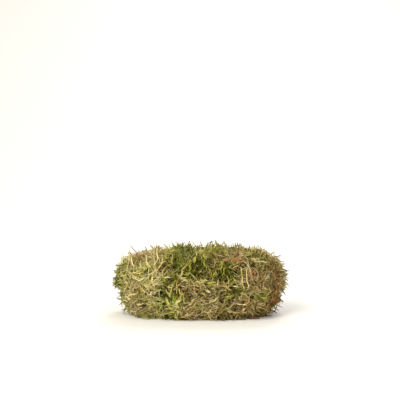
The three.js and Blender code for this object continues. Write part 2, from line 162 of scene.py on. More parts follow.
def mat_radius(d):
    """From the centre to the mat along unit ways d: a superellipsoid with three low waves."""
    x, y, z = d[..., 0], d[..., 1], d[..., 2]
    flat, power = front_view(d)
    n = SQUARENESS_DEPTH
    fullness = (flat ** (n / power) + np.abs(y / MAT_HALF[1]) ** n) ** (1 / n)
    hummocks = (
        0.03 * np.sin(7.1 * x + 1.3) * np.sin(6.3 * z + 0.4)
        + 0.028 * np.sin(11.3 * x - 3.1 * y + 2.2)
        + 0.024 * np.sin(9.2 * y + 8.4 * z)
    )
    return (1 + hummocks) / fullness


def on_mat(p):
    """The mat's point on the way from the centre to p."""
    d = unit(p - CENTRE)
    return CENTRE + d * mat_radius(d)[..., None]


def out_at(p):
    """The way out of the mat: the slope of the superellipsoid's sum at p."""
    q = p - CENTRE
    flat, power = front_view(q)
    n = np.stack([power, np.full(power.shape, SQUARENESS_DEPTH), power], -1)
    slope = np.sign(q) * np.abs(q / MAT_HALF) ** (n - 1) / MAT_HALF
    share = flat ** (SQUARENESS_DEPTH / power - 1)
    return unit(slope * np.stack([share, np.ones(share.shape), share], -1))


def height_over_mat(p):
    """How far p lies past the mat on its way from the centre, times its cosine to the way out."""
    q = p - CENTRE
    d = unit(q)
    return (np.linalg.norm(q, axis=-1) - mat_radius(d)) * np.maximum(dot(d, out_at(p))[..., 0], 0.3)


def on_front(x, z):
    """The front face's point at x and z: y steps from in front by a share of what is left."""
    x, z = np.broadcast_arrays(np.asarray(x, float), np.asarray(z, float))
    p = np.stack([x, np.full(x.shape, -MAT_HALF[1]), z], -1)
    for _ in range(12):
        q = p - CENTRE
        left = np.linalg.norm(q, axis=-1) - mat_radius(unit(q))
        p[..., 1] = np.minimum(p[..., 1] + STEP_SHARE * left, -2)
    return p


def over_front(x, z, height):
    """The point in front at x and z, height over the mat: y steps by a share of what is left."""
    p = on_front(x, z)
    for _ in range(14):
        p[..., 1] = np.minimum(p[..., 1] + STEP_SHARE * (height_over_mat(p) - height), -1)
    return p


def spot(turn, up):
    """A spot of the mat by its turn round the loaf and its height from -1 to 1."""
    flat = np.sqrt(np.maximum(1 - up * up, 0.02))
    return on_mat(CENTRE + np.stack([flat * np.cos(turn), flat * np.sin(turn), up], -1) * STRETCH)


def heading_of(facing):
    """The way that a line sets off over the mat, from one angle: mostly along the clump."""
    return np.stack([np.cos(facing), 0.6 * np.sin(facing), 0.6 * np.sin(2.3 * facing)], -1)


def lines_over_mat(start, heading, length, steps, bend, heights):
    """Lines that wander over the mat: each step goes straight on, turned about the way out by its
    share of the bend and up near the floor, and is put back on the mat. heights(t) is the height
    over it at t from 0 to 1."""
    step = length / steps
    base = start
    way = unit(across_from(heading, out_at(base)))
    line = []
    for i in range(steps + 1):
        out = out_at(base)
        line.append(base + out * np.broadcast_to(heights(i / steps), length.shape)[..., None])
        way = turned(way, out, bend / steps * (1 + 0.6 * np.sin(1.7 * i + 9 * bend)))
        way = way + np.array([0, 0, 0.3]) * (base[..., 2:] < 7)
        way = unit(across_from(way, out))
        following = on_mat(base + way * step[..., None])
        way = unit(following - base)
        base = following
    return np.stack(line, -2)


# ---- Room: points along each placed limb ----
class Taken:
    """Points along the limbs placed so far, with radius and owner, to keep the next clear."""

    def __init__(self):
        self.points, self.radii, self.owners = np.zeros((0, 3)), np.zeros(0), np.zeros(0, int)

    def take(self, samples, owner):
        points, radii = samples
        self.points = np.concatenate([self.points, points])
        self.radii = np.concatenate([self.radii, radii])
        self.owners = np.concatenate([self.owners, np.full(len(radii), owner)])

    def is_clear(self, samples, owner=-1):
        points, radii = samples
        others = self.owners != owner
        gaps = np.linalg.norm(points[:, None] - self.points[others], axis=-1)
        return bool((gaps >= radii[:, None] + self.radii[others] + MARGIN).all())


def samples_of(points, radii):
    """Points at most SAMPLE_STEP apart along a line, with the radius there."""
    radii = np.asarray(radii, float)
    at = []
    for i, span in enumerate(np.linalg.norm(np.diff(points, axis=0), axis=-1)):
        count = math.ceil(span / SAMPLE_STEP)
        at.append(i + np.arange(count) / count)
    at = np.concatenate(at + [[len(points) - 1]])
    low = np.minimum(at.astype(int), len(points) - 2)
    t = at - low
    between = points[low] * (1 - t[:, None]) + points[low + 1] * t[:, None]
    return between, radii[low] * (1 - t) + radii[low + 1] * t


def room_among(lines, others):
    """The least and mean distance of each line's points to the nearest of others, up to FAR."""
    if not len(others):
        gaps = np.full(lines.shape[:-1], float(FAR))
    else:
        squares = (lines**2).sum(-1)[..., None] + (others**2).sum(-1) - 2 * lines @ others.T
        gaps = np.sqrt(np.maximum(squares.min(-1), 0)).clip(max=FAR)
    return gaps.min(-1), gaps.mean(-1)


def lifted(p, radius):
    """p moved out of the mat and off the floor until a limb of that radius clears both."""
    short = np.maximum(radius + MARGIN - height_over_mat(p), 0)
    q = p + out_at(p) * short[..., None]
    q[..., 2] = np.maximum(q[..., 2], radius + FLOOR_GAP)
    return q


# ---- The nodes' lines, as in the CAD ----
def pale_line(start, end, bow, phase):
    """A bare stem: straight across the front plus a half sine of its bow and a small quick one,
    raised to its height with both ends sunk in the mat."""
    run = np.array([end[0] - start[0], end[1] - start[1]], float)
    aside = np.array([-run[1], run[0]]) / np.hypot(*run)
    t = np.arange(PALE_STEPS + 1) / PALE_STEPS
    off = bow * np.sin(math.pi * t) + 0.5 * np.sin(9 * t + phase)
    base = on_front(start[0] + run[0] * t + aside[0] * off, start[1] + run[1] * t + aside[1] * off)
    rise = np.minimum(t / 0.2, 1) * np.minimum((1 - t) / 0.2, 1)
    return base + out_at(base) * (-PALE_ROOT + (PALE_ROOT + PALE_HEIGHT) * rise)[:, None]


def blade_line(neck, tuft, share, draw):
    """A blade: straight up its own angle of the fan, arched over the front by part of a sine."""
    _, points, spread, _, longest = tuft
    angle = math.radians(points + spread * share)
    length = longest * (1 - 0.7 * abs(share)) * draw(0.85, 1)[0]
    lift = BLADE_HEIGHT * draw(0.5, 1)[0]
    t = np.arange(1, BLADE_STEPS + 1) / BLADE_STEPS
    x = neck[0] + math.cos(angle) * length * t
    z = np.maximum(neck[2] + math.sin(angle) * length * t, 3)
    base = on_front(x, z)
    height = BLADE_BED + lift * np.sin(2.2 * t)
    return np.concatenate([neck[None], base + out_at(base) * height[:, None]])


def blade_tufts(taken):
    """Each tuft's blades, root, neck, top and way out. A blade with no room is left out."""
    tufts = []
    for i, tuft in enumerate(BLADE_TUFTS):
        draw = Draws(BLADE_SEED + i)
        base = on_front(*tuft[0])
        out = out_at(base)
        root, neck, top = (base + out * height for height in (TUFT_ROOT, TUFT_NECK, TUFT_TOP))
        owner = len(PALE_STEMS) + i
        taken.take(samples_of(np.array([root, base, neck]), NECK_RADII), owner)
        lines = []
        blades = tuft[3]
        for k in range(blades):
            share = 0.5 * (1 if k % 2 else -1) * math.ceil(k / 2) / math.ceil((blades - 1) / 2)
            line = blade_line(neck, tuft, share, draw)
            samples = samples_of(line, BLADE_TAPER * BLADE_WIDTH / 2)
            if taken.is_clear(samples, owner):
                taken.take(samples, owner)
                lines.append(line)
        tufts.append({"lines": np.array(lines), "root": root, "neck": neck, "top": top, "out": out})
    return tufts


STEM_RADII = SHOOT_RADIUS * (1.1 - 0.3 * np.arange(STEM_STEPS + 1) / STEM_STEPS)


def shoot_heights(bed):
    """Up from the root to the bed over the first 0.15, and by a square over the last 0.4."""

    def height(t):
        first, last = min(t / 0.15, 1), max((t - 0.6) / 0.4, 0)
        return -ROOT_DEPTH + (ROOT_DEPTH + bed) * first + HEAD_RISE * last**2

    return height


def shoot_stems(taken):
    """The shoots' stems: for each, the one of many tries with the most room that is clear of all.
    One that finds no room is left out."""
    stems = []
    for serial in range(SHOOT_COUNT):
        draw = Draws(1000 * serial + np.arange(SHOOT_TRIES))
        start = spot(draw(0, TURN), draw(-0.5, 0.95))
        facing, length = draw(0, TURN), draw(*SHOOT_LENGTHS)
        heights = shoot_heights(BED + draw(0, LOFT))
        bend = draw(-1.6, 1.6)
        lines = lines_over_mat(start, heading_of(facing), length, STEM_STEPS, bend, heights)
        others = np.concatenate([stem["line"] for stem in stems]) if stems else np.zeros((0, 3))
        least, mean = room_among(lines, others)
        fits = (least > LEAST_STEM_SPACING) & (lines[..., 2] > LOWEST_STEM).all(-1)
        for i in np.argsort(-mean, kind="stable"):
            if fits[i] and taken.is_clear(samples_of(lines[i], STEM_RADII)):
                stems.append({"line": lines[i], "serial": serial})
                break
    return stems


def name_shoots(stems):
    """Names each shoot after its colour, which follows its place, and counts by colour."""
    counts = {}
    for stem in stems:
        across = stem["line"][STEM_STEPS // 2][0] + 12 * math.sin(2.7 * stem["serial"])
        kind = "yellow_green" if across < GREEN_FROM else "green" if across < TAN_FROM else "tan"
        counts[kind] = counts.get(kind, 0) + 1
        stem["kind"] = kind
        stem["name"] = f"{kind}_shoot_{counts[kind]:02d}"


def carried_sides(line, upright):
    """The way and a side vector at each point but the last, each side carried on from before."""
    along, sides, side = [], [], upright
    for i in range(len(line) - 1):
        along.append(unit(line[i + 1] - line[max(i - 1, 0)]))
        side = unit(across_from(side, along[-1]))
        sides.append(side)
    return np.array(along), np.array(sides)


def stem_tube(line, radii, sides, upright):
    """Corners of a tube with few sides, (points, sides, 3), the first toward the upright."""
    along, side = carried_sides(line, upright)
    ring = ways_round(side, np.cross(along, side), TURN * np.arange(sides) / sides)
    return line[:-1, None] + ring * np.asarray(radii)[:-1, None, None]


def stem_faces(line, radii):
    """The three-sided stem's faces as corners, by (step, side, half), and its tip's by side."""
    corner = stem_tube(line, radii, 3, line[2] - line[4])
    following = np.roll(corner, -1, axis=1)
    first = np.stack([corner[:-1], following[:-1], corner[1:]], 2)
    second = np.stack([following[:-1], following[1:], corner[1:]], 2)
    tip = np.stack([corner[-1], following[-1], np.broadcast_to(line[-1], (3, 3))], 1)
    return np.stack([first, second], 2), tip


def arc_from(face, along, lengths, draw):
    """An arc out of the middle of a face, leaning on along the stem and curling aside."""
    a, b, c = face
    normal = unit(np.cross(b - a, c - a))
    across = unit(np.cross(along, normal))
    way = unit(normal + along * draw(0.1, 0.9) + across * draw(-0.5, 0.5))
    aside = unit(across_from(turned(along[None], way[None], draw(-1.3, 1.3))[0], way))
    length, curl = draw(*lengths)[0], draw(0.3, 1.6)[0]
    return {"from": face.mean(0), "way": way, "aside": aside, "length": length, "curl": curl}


def arc_point(arc, u):
    """A point of a circular arc: sine along its way and one less the cosine aside."""
    scale, turn = arc["length"] / arc["curl"], arc["curl"] * u
    ahead = arc["from"] + arc["way"] * scale * math.sin(turn)
    return ahead + arc["aside"] * scale * (1 - math.cos(turn))


def shoot_arcs(stem):
    """The arcs of a shoot's head and of its branches."""
    line = stem["line"]
    faces, tip = stem_faces(line, STEM_RADII)
    draw = Draws(HEAD_SEED + stem["serial"])
    along = unit(line[STEM_STEPS] - line[STEM_STEPS - 1])
    head = []
    for side in range(3):
        for face in (tip[side], faces[STEM_STEPS - 2, side, 0], faces[STEM_STEPS - 3, side, 1]):
            head.append(arc_from(face, along, HEAD_LENGTHS, draw))
    draw = Draws(BRANCH_SEED + stem["serial"])
    branches = []
    for step in range(FIRST_BRANCH, LAST_BRANCH + 1):
        face = faces[step, 0 if step % 2 else 2, stem["serial"] % 2]
        branches.append(arc_from(face, unit(line[step + 1] - line[step]), BRANCH_LENGTHS, draw))
    return head, branches


def grow(stem, arcs, owner, radius, taken):
    """Adds to the shoot those branches that have room, as start, bend and tip."""
    for arc in arcs:
        bend, tip = (lifted(arc_point(arc, u), radius) for u in (0.55, 1))
        limb = np.array([arc["from"], bend, tip])
        points, radii = samples_of(limb, [radius, 0.9 * radius, 0.1 * radius])
        far = np.linalg.norm(points - arc["from"], axis=-1) > ROOT_STRETCH
        if taken.is_clear((points, radii), owner) and taken.is_clear((points[far], radii[far])):
            taken.take((points, radii), owner)
            stem["limbs"].append(limb)


def old_arches(stems, taken):
    """Old stems that arch out of the mat by a half sine or part of one, each in the emptiest of a
    few places. One that finds no room is left out."""
    others = np.concatenate([stem["line"] for stem in stems])
    arches = []
    for serial in range(ARCH_COUNT):
        draw = Draws(ARCH_SEED + 100 * serial + np.arange(ARCH_TRIES))
        start = spot(draw(0, TURN), draw(-0.57, 0.98))
        facing, length, top = draw(0, TURN), draw(*ARCH_LENGTHS), draw(*ARCH_TOPS)
        span = np.where(draw(0, 1) < 0.4, 0.6, 1.0)
        bend = draw(-1.6, 1.6)
        steps = np.maximum(4, np.floor(length / ARCH_STEP + 0.5).astype(int))
        most_room, best = 0.0, None
        for count in np.unique(steps):
            pick = steps == count
            rise, part = ARCH_SINK + top[pick], span[pick]
            heights = lambda t: -ARCH_SINK + rise * np.sin(math.pi * part * t)
            setting_off = start[pick], heading_of(facing[pick]), length[pick]
            lines = lines_over_mat(*setting_off, int(count), bend[pick], heights)
            radii = ARCH_RADIUS * np.where(np.arange(count + 1) == count, 0.3, 1)
            mean = room_among(lines, others)[1]
            fits = (lines[..., 2] >= LOWEST_ARCH).all(-1)
            for i in np.argsort(-mean, kind="stable"):
                if mean[i] <= most_room:
                    break
                if fits[i] and taken.is_clear(samples_of(lines[i], radii)):
                    most_room, best = mean[i], lines[i]
                    break
        if best is not None:
            others = np.concatenate([others, best])
            arches.append(best)
    return arches


taken = Taken()
PALE_RADII = PALE_RADIUS * np.where(np.arange(PALE_STEPS + 1) == PALE_STEPS, 0.5, 1)
pale_lines = [pale_line(*stem, i) for i, stem in enumerate(PALE_STEMS)]
for i, line in enumerate(pale_lines):
    taken.take(samples_of(line, PALE_RADII), i)
tufts = blade_tufts(taken)
shoots = shoot_stems(taken)
name_shoots(shoots)
FIRST_SHOOT_OWNER = len(PALE_STEMS) + len(BLADE_TUFTS)
for i, stem in enumerate(shoots):
    stem["limbs"] = []
    stem["arcs"] = shoot_arcs(stem)
    taken.take(samples_of(stem["line"], STEM_RADII), FIRST_SHOOT_OWNER + i)
for which, radius in enumerate((HEAD_RADIUS, BRANCH_RADIUS)):
    for i, stem in enumerate(shoots):
        grow(stem, stem["arcs"][which], FIRST_SHOOT_OWNER + i, radius, taken)
arches = old_arches(shoots, taken)


def middle(points):
    """The middle of the box round points."""
    return (points.min(0) + points.max(0)) / 2


# The CAD puts the origin at the clump's bottom centre: what it moves by is read off one bare stem.
first_pale = stem_tube(pale_lines[0], PALE_RADII, 5, np.array([0.1, 0.2, 1.0])).reshape(-1, 3)
first_pale = np.concatenate([first_pale, pale_lines[0][-1:]])
SHIFT = middle(np.array(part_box("pale_stem_01"))) / MM - middle(first_pale)
BOX_LOW, BOX_HIGH = (np.array(corner) / MM - SHIFT for corner in CAD_BOX)
BOX_INSET = 0.15  # the finer pieces stay this far inside the CAD's box

# ---- What grows where: tone, and light with painted shade and highlights ----
# Tone runs from russet (0) over tan, cream and yellow-green to deep green (1), light from 0, the
# painted shade, to 1, paled by a painted highlight.
TONE_STEPS = np.linspace(0.04, 0.96, 10)
RUSSET, ORANGE, TAN, STRAW, CREAM, YELLOW, LIME, GREEN, DEEP, DARK_GREEN = TONE_STEPS
TONE_LIMITS = (0.02, 0.98)
PALE_YELLOW = (CREAM + YELLOW) / 2

# Patches of the front face: x, z, half width, half height, tone, light. Their light is the moss's
# own lightness, with painted highlights in the brightest and painted shade in the darkest, its
# holes and pockets.
PATCHES = [
    (-58, 42, 7, 9, PALE_YELLOW, 1.02), (-56, 39, 5, 5, GREEN, 0.85), (-35, 34, 5, 4, LIME, 1.12),
    (-44, 26, 4, 4, LIME, 0.95), (-36, 13, 5, 4, LIME, 1.12), (-47, 47, 7, 5, RUSSET, 0.55),
    (-40, 41, 6, 7, PALE_YELLOW, 1.12), (-33, 47, 7, 4, TAN, 0.62), (-29, 42, 4, 4, DEEP, 0.2),
    (-40, 31, 11, 5, PALE_YELLOW, 1.1), (-43, 33, 3.2, 2.8, GREEN, 0.0), (-45, 24, 4, 4, TAN, 0.3),
    (-37, 25, 8, 4, CREAM, 1.05), (-52, 20, 10, 9, CREAM, 1.05), (-46, 10, 9, 5, STRAW, 0.85),
    (-44, 19, 3, 3, GREEN, 0.15), (-25, 11, 9, 6, LIME, 1.08), (-31, 7, 8, 5, YELLOW, 1.05),
    (-38, 9, 4, 3, ORANGE, 0.35), (-14, 42, 9, 7, DEEP, 0.32), (-9, 35, 9, 5, DEEP, 0.32),
    (-23, 37, 7, 4, TAN, 0.6), (-23, 25, 6, 8, DEEP, 0.26), (-8, 28, 8, 4, TAN, 0.52),
    (-6, 21, 8, 5, ORANGE, 0.3), (0, 39, 5, 5, DARK_GREEN, 0.25), (9, 38, 9, 8, GREEN, 0.3),
    (7, 28, 15, 3.5, YELLOW, 0.74), (12, 43, 6, 4, TAN, 0.36), (6, 49, 18, 3, YELLOW, 0.5),
    (24, 35, 5, 7, DARK_GREEN, 0.46), (32, 45, 11, 3, ORANGE, 0.92),
    (47, 47, 12, 5, DARK_GREEN, 0.36), (43, 40, 11, 3.5, YELLOW, 0.52),
    (39, 31, 8, 7, ORANGE, 1.08), (42, 26, 6, 4, ORANGE, 1.06), (52, 33, 7, 8, STRAW, 0.62),
    (45, 18, 6, 6, GREEN, 0.58), (27, 22, 7, 3, DEEP, 0.36), (60, 30, 4, 18, RUSSET, 0.66),
    (56, 15, 7, 6, RUSSET, 0.42), (34, 12, 9, 6, TAN, 0.76), (19, 9, 4.5, 4, TAN, 0.24),
    (5, 10, 12, 4, YELLOW, 0.84), (-4, 5, 12, 3.5, ORANGE, 0.78), (8, 20, 12, 4, STRAW, 0.6),
    (6, 22, 3.5, 2.2, TAN, 0.1),
]
BROAD_WEIGHT = 0.25  # what the broad field weighs beside a patch
# How loose stems run on the front: x, z, half width, half height, degrees from +x.
GRAIN = [
    (8, 29, 20, 4, -6), (12, 15, 14, 7, 32), (-6, 6, 14, 5, 18), (30, 44, 13, 4, 12),
    (59, 30, 6, 24, 92), (44, 32, 8, 9, 68), (-18, 21, 5, 11, 100), (-13, 41, 8, 7, 125),
    (35, 11, 8, 8, 60), (-49, 42, 6, 8, -64), (14, 38, 8, 7, -72), (-28, 13, 8, 5, 5),
]

# Strands that are drawn one by one on the front, by tone. Each is an arc: where it starts (x, z),
# its heading in degrees from +x, its length, how many degrees it turns, its light and its radius.
DRAWN_STRANDS = {
    CREAM: [
        (-52, 46, -60, 9.5, -6, 0.86, 0.6), (-40, 46.5, -75, 10.5, 35, 0.8, 0.5),
        (-34.5, 38, 38, 16, 95, 0.88, 0.5), (-50, 33, -48, 13.5, 95, 0.9, 0.5),
        (-34, 35, 15, 7.5, 170, 0.78, 0.4), (-26.5, 33, -8, 7, 12, 0.88, 0.42),
        (0, 30, 20, 7.8, -36, 0.82, 0.42), (-13.8, 30.8, 68, 6.5, -125, 0.88, 0.5),
        (-56.3, 19.6, 85, 5.3, -70, 0.92, 0.46), (-53, 16.8, 48, 8.8, -50, 0.9, 0.5),
        (-56.3, 17, 2, 7.3, -62, 0.88, 0.45), (-57, 12.2, 55, 4.8, -110, 0.88, 0.48),
        (-36.3, 18.5, 95, 5.5, -85, 0.88, 0.5), (-27.3, 27, -50, 10, -10, 0.82, 0.38),
        (-34, 12.2, 55, 5, -85, 0.86, 0.45), (-46.7, 12.2, -22, 5.8, 50, 0.86, 0.45),
        (-24.2, 26.3, -30, 4.5, 8, 0.94, 0.42), (-41, 25.5, 60, 9, -270, 0.86, 0.42),
        (-23.2, 26, -8, 4.5, -32, 0.94, 0.48), (-13.2, 17, 222, 7.2, 8, 0.92, 0.62),
        (-17.8, 11.5, -5, 3, -20, 0.9, 0.5), (-12.3, 30.8, 20, 4.6, -85, 0.84, 0.46),
        (4.5, 23.2, -14, 4.9, -4, 0.96, 0.55), (-16.5, 9, -52, 4.3, 8, 0.8, 0.45),
        (24.7, 25.6, 20, 4.6, -60, 0.88, 0.5), (26.6, 13.8, -40, 12, 85, 0.9, 0.52),
        (31.8, 14.8, 110, 4.6, 95, 0.84, 0.45), (39, 9.7, -42, 3.6, -20, 0.74, 0.42),
    ],
    YELLOW: [
        (-30, 42, 12, 6, 8, 0.82, 0.42), (-50, 33.5, 28, 10.5, -42, 0.84, 0.45),
        (-10, 37.5, 198, 9.5, 80, 0.88, 0.5), (-16.3, 30.5, 228, 17, 50, 0.9, 0.55),
        (-5, 41.5, 50, 9.5, 42, 0.82, 0.48), (-0.5, 49, 5, 6, -8, 0.82, 0.42),
        (3, 49, -85, 6.8, 50, 0.82, 0.5), (12, 37.6, 238, 7, 12, 0.86, 0.46),
        (-3.7, 28.5, 12, 11.5, -14, 0.84, 0.42), (5.4, 27.7, 50, 9.5, -100, 0.82, 0.45),
        (-42.7, 22.4, 70, 6, -250, 0.86, 0.4), (-23.8, 22.7, -64, 7.2, 8, 0.82, 0.42),
        (-14.8, 25, -95, 9, 95, 0.88, 0.5), (6.6, 13, 40, 11.2, -22, 0.88, 0.6),
        (20.7, 6.6, 42, 3.8, -85, 0.82, 0.42),
    ],
    LIME: [
        (-58.5, 44, -70, 6, -25, 0.85, 0.4), (-45, 43, -45, 6.8, -75, 0.9, 0.42),
        (-41, 41.5, -40, 6.5, -120, 0.9, 0.42), (-21, 40.5, 68, 9, 35, 0.8, 0.42),
        (-7, 41.5, -68, 5.5, -45, 0.74, 0.4), (-10.5, 33.3, 45, 6.2, -30, 0.72, 0.4),
        (1.7, 44, -28, 9.5, -70, 0.75, 0.46), (17.2, 44, -68, 8.5, -112, 0.8, 0.48),
        (18.8, 40.5, -92, 8, -22, 0.68, 0.4), (12, 37.6, -78, 5, 35, 0.76, 0.4),
        (31.3, 37.6, -75, 6.3, -32, 0.64, 0.45), (-33.2, 16, -8, 8.6, -8, 0.92, 0.46),
        (-31.5, 12, 30, 9, -25, 0.92, 0.46), (-29.8, 7.4, 72, 5.8, -32, 0.9, 0.44),
        (-13.2, 20.4, -108, 4, 25, 0.8, 0.42), (-12.4, 20.4, -68, 9, -20, 0.82, 0.42),
        (-23.8, 9.5, -6, 6, 14, 0.86, 0.45), (-22.3, 6.6, 25, 5.2, -45, 0.88, 0.42),
        (4.8, 26, 25, 7.8, -14, 0.74, 0.42), (46, 15, 80, 6.6, -165, 0.76, 0.46),
        (19.5, 18.2, 0, 6.2, -2, 0.8, 0.6),
    ],
    STRAW: [
        (8.5, 49.2, -2, 11.3, -36, 0.74, 0.45), (30, 50.3, -72, 6, 62, 0.9, 0.48),
        (34.2, 46.7, 8, 6.4, 66, 0.88, 0.46), (36.6, 47.4, 5, 4.2, -15, 0.84, 0.42),
        (36.6, 46, -28, 17.5, 36, 0.88, 0.6), (48, 28.3, 60, 6.3, -4, 0.72, 0.4),
        (-45.2, 9.8, -15, 4, 25, 0.8, 0.42), (-48, 25, -25, 5.3, 65, 0.76, 0.42),
        (-13.8, 26.3, 18, 5, -80, 0.8, 0.46), (-6.8, 23.5, -5, 9.4, -85, 0.84, 0.5),
        (-9.2, 24.4, 22, 15.3, -30, 0.8, 0.5), (-8.4, 10.5, 62, 12.5, -28, 0.88, 0.55),
        (-10, 7, 42, 13, -10, 0.86, 0.5), (0.2, 15.4, 0, 6, 4, 0.8, 0.42),
        (-12, 4.2, 4, 10, 26, 0.86, 0.52), (-6.8, 4, -4, 9.3, 20, 0.78, 0.46),
        (1.2, 19.3, 75, 8, -230, 0.74, 0.48), (30.5, 5, 45, 7.4, 15, 0.86, 0.55),
        (36.5, 5.6, 45, 4.8, 150, 0.82, 0.5), (46.4, 24.6, -30, 5.8, 28, 0.76, 0.45),
    ],
    TAN: [
        (-48, 42.5, 68, 6, -15, 0.6, 0.4), (23, 37.5, 52, 9, -58, 0.76, 0.45),
        (-5.6, 24.3, 20, 7, -75, 0.78, 0.46), (13.3, 13.4, 55, 5.5, -150, 0.82, 0.48),
        (10.9, 24.6, 25, 8.6, -18, 0.76, 0.42), (34, 9.7, 63, 8.8, -3, 0.82, 0.62),
        (36, 9.4, 70, 6.2, -18, 0.74, 0.5),
    ],
    ORANGE: [
        (17, 43.8, 10, 8, -4, 0.8, 0.55), (21.3, 44, 18, 14, -22, 0.88, 0.5),
        (23, 43.2, 12, 14, 2, 0.8, 0.5), (25.6, 42.4, -2, 9.8, 44, 0.84, 0.46),
        (56.5, 34, -95, 7.5, 30, 0.82, 0.55), (39, 37.6, -30, 6, -90, 0.78, 0.45),
        (36.6, 31.9, 28, 5.8, 90, 0.86, 0.42), (40.3, 29.1, 20, 6.6, 100, 0.84, 0.42),
        (39.3, 24.2, 100, 10, -350, 0.9, 0.46), (58.8, 27.5, -92, 3.6, 45, 0.92, 0.5),
        (57, 25.6, -15, 3.5, 12, 0.86, 0.5), (58.4, 22.7, -98, 7.8, -18, 0.78, 0.5),
        (54, 13.4, 42, 3.4, 14, 0.76, 0.45),
    ],
    RUSSET: [(52, 41, 40, 3.4, -10, 0.3, 0.55)],
}
STRANDS_DRAWN_TOGETHER = 3  # each drawn strand and the thinner ones beside it
# How far one beside it scatters from it, value by value.
SIDE_SCATTER = (0.9, 0.9, 7, 1.5, 12, 0.06, 0.03)
DRAWN_TOP, DRAWN_LIMIT = 10.8, 10.5  # how high they are drawn, and how high they may stand


def wave(p, size, phase):
    """A smooth blotchy field from -1 to 1: three sines of slanted sums of x, y and z, averaged."""
    q = p / size
    a = np.sin(q @ np.array([1.0, 0.7, 0.3]) + phase)
    b = np.sin(q @ np.array([-0.5, 0.9, 1.1]) + 2.3 * phase + 1)
    c = np.sin(q @ np.array([0.8, -1.2, 0.6]) + 3.1 * phase + 2)
    return (a + b + c) / 3


def squares_from(p, patch):
    """x and z from a patch's middle over its half sizes, squared and added: 1 on its ellipse."""
    x, z, half_x, half_z = patch[:4]
    return ((p[..., 0] - x) / half_x) ** 2 + ((p[..., 2] - z) / half_z) ** 2


def growth_and_painted_light_at(p):
    """Tone and light at points: a broad field from yellow-green at the left to tan at the right
    with blotches, and on the front the patches, each by a steep Gaussian of its half sizes. The
    light holds painted shade and highlights besides the moss's own lightness."""
    x, y = p[..., 0], p[..., 1]
    tone = 0.5 - 0.002 * x + 0.12 * np.exp(-((x / 25) ** 2)) + 0.34 * wave(p, 9, 1.0)
    light = 0.56 - 0.0022 * x + 0.26 * wave(p, 6, 4.0)
    weight = np.full(x.shape, BROAD_WEIGHT)
    tone, light = tone * weight, light * weight
    front = np.clip((-y - 6) / 12, 0, 1)
    for patch in PATCHES:
        share = front * np.exp(-0.8 * squares_from(p, patch) ** 1.3)
        weight = weight + share
        tone = tone + share * patch[4]
        light = light + share * patch[5]
    return tone / weight, light / weight


def grain_at(p):
    """How loose stems run on the front, in radians, and how strongly, from 0 to 1: the mean of the
    grain's ways as doubled angles, each weighted by a Gaussian of its half sizes."""
    front = np.clip((-p[..., 1] - 4) / 10, 0, 1) * np.clip((62 - np.abs(p[..., 0])) / 10, 0, 1)
    across, up = np.zeros(front.shape), np.zeros(front.shape)
    for patch in GRAIN:
        share = front * np.exp(-0.7 * squares_from(p, patch))
        doubled = math.radians(2 * patch[4])
        across = across + share * math.cos(doubled)
        up = up + share * math.sin(doubled)
    return np.arctan2(up, across) / 2, np.minimum(1.4 * np.hypot(across, up), 1)


def middles(lines):
    """Each line's middle point."""
    return lines[:, lines.shape[1] // 2]


# ---- Strands: curves ----
def curled_lines(start, way, aside, length, curl, wiggle, points):
    """Curled strands, all at once: a circular arc that turns by curl radians aside of its way, with
    a small sine out of its plane. Returns (strands, points, 3)."""
    u = np.linspace(0, 1, points)
    scale = (length / curl)[:, None, None]
    turn = (curl[:, None] * u)[..., None]
    lift = (wiggle[:, None] * length[:, None] * np.sin(TURN * u) * u)[..., None]
    arc = start[:, None] + way[:, None] * scale * np.sin(turn)
    arc = arc + aside[:, None] * scale * (1 - np.cos(turn))
    return arc + np.cross(way, aside)[:, None] * lift


def smooth_line(points, count):
    """A line through points, smoothed: a Catmull-Rom curve sampled evenly in its parameter."""
    padded = np.concatenate([2 * points[:1] - points[1:2], points, 2 * points[-1:] - points[-2:-1]])
    at = np.linspace(0, len(points) - 1, count)
    i = np.minimum(at.astype(int), len(points) - 2)
    t = (at - i)[:, None]
    a, b, c, d = padded[i], padded[i + 1], padded[i + 2], padded[i + 3]
    square, cube = 2 * a - 5 * b + 4 * c - d, 3 * b - a - 3 * c + d
    return 0.5 * (2 * b + (c - a) * t + square * t**2 + cube * t**3)


def kept_in_place(lines, radius, least_height):
    """Points moved out of the mat to a least height, into the CAD's box and off the floor."""
    short = np.maximum(least_height - height_over_mat(lines), 0)
    lines = lines + out_at(lines) * short[..., None]
    reach = np.asarray(radius)[:, None, None] + BOX_INSET
    return np.clip(lines, BOX_LOW + reach, BOX_HIGH - reach)


def random_ways(rng, count):
    """Unit vectors spread evenly over all ways."""
    return unit(rng.normal(size=(count, 3)))


def front_way(angle):
    """The unit vector in the front's plane at an angle from +x."""
    return np.stack([np.cos(angle), np.zeros(angle.shape), np.sin(angle)], -1)


def either_way(rng, angle):
    """Each angle or the one opposite it, by a seeded toss."""
    return angle + math.pi * (rng.random(len(angle)) < 0.5)


# ---- Strands: surfaces ----
FIRST_SIDE = np.array([0.31, 0.62, 0.72])  # leans every strand's first side the same way
UV_SPREAD = 0.006  # half width in tone of a strand's faces, so that none is a line in the UV map
TONE_MOTTLE, LIGHT_MOTTLE = 0.03, 0.11  # how far tone and light swing along a strand
# Painted shade that darkens a curl toward its root, deep in the tangle, and painted highlight that
# lightens its tip.
CURL_ROOT_DARK, CURL_TIP_LIGHT = 0.26, 0.12
TUBE_DARK, LEAF_LIGHT = 0.08, 0.06  # how much darker a curl's stem is, and lighter its leaves
# Painted shade that darkens a bare stem toward its root.
STEM_ROOT_DARK = 0.15
LEAF_REACH = 0.28  # how far a leaf stands out of its curl


def strand_frames(lines, rings):
    """For each ring the way along the strand and two across it, carried on ring by ring."""
    along = unit(np.gradient(lines, axis=1))[:, :rings]
    side = unit(across_from(FIRST_SIDE, along[:, 0]))
    sides = []
    for k in range(rings):
        side = unit(across_from(side, along[:, k]))
        sides.append(side)
    sides = np.stack(sides, 1)
    return along, sides, np.cross(along, sides)


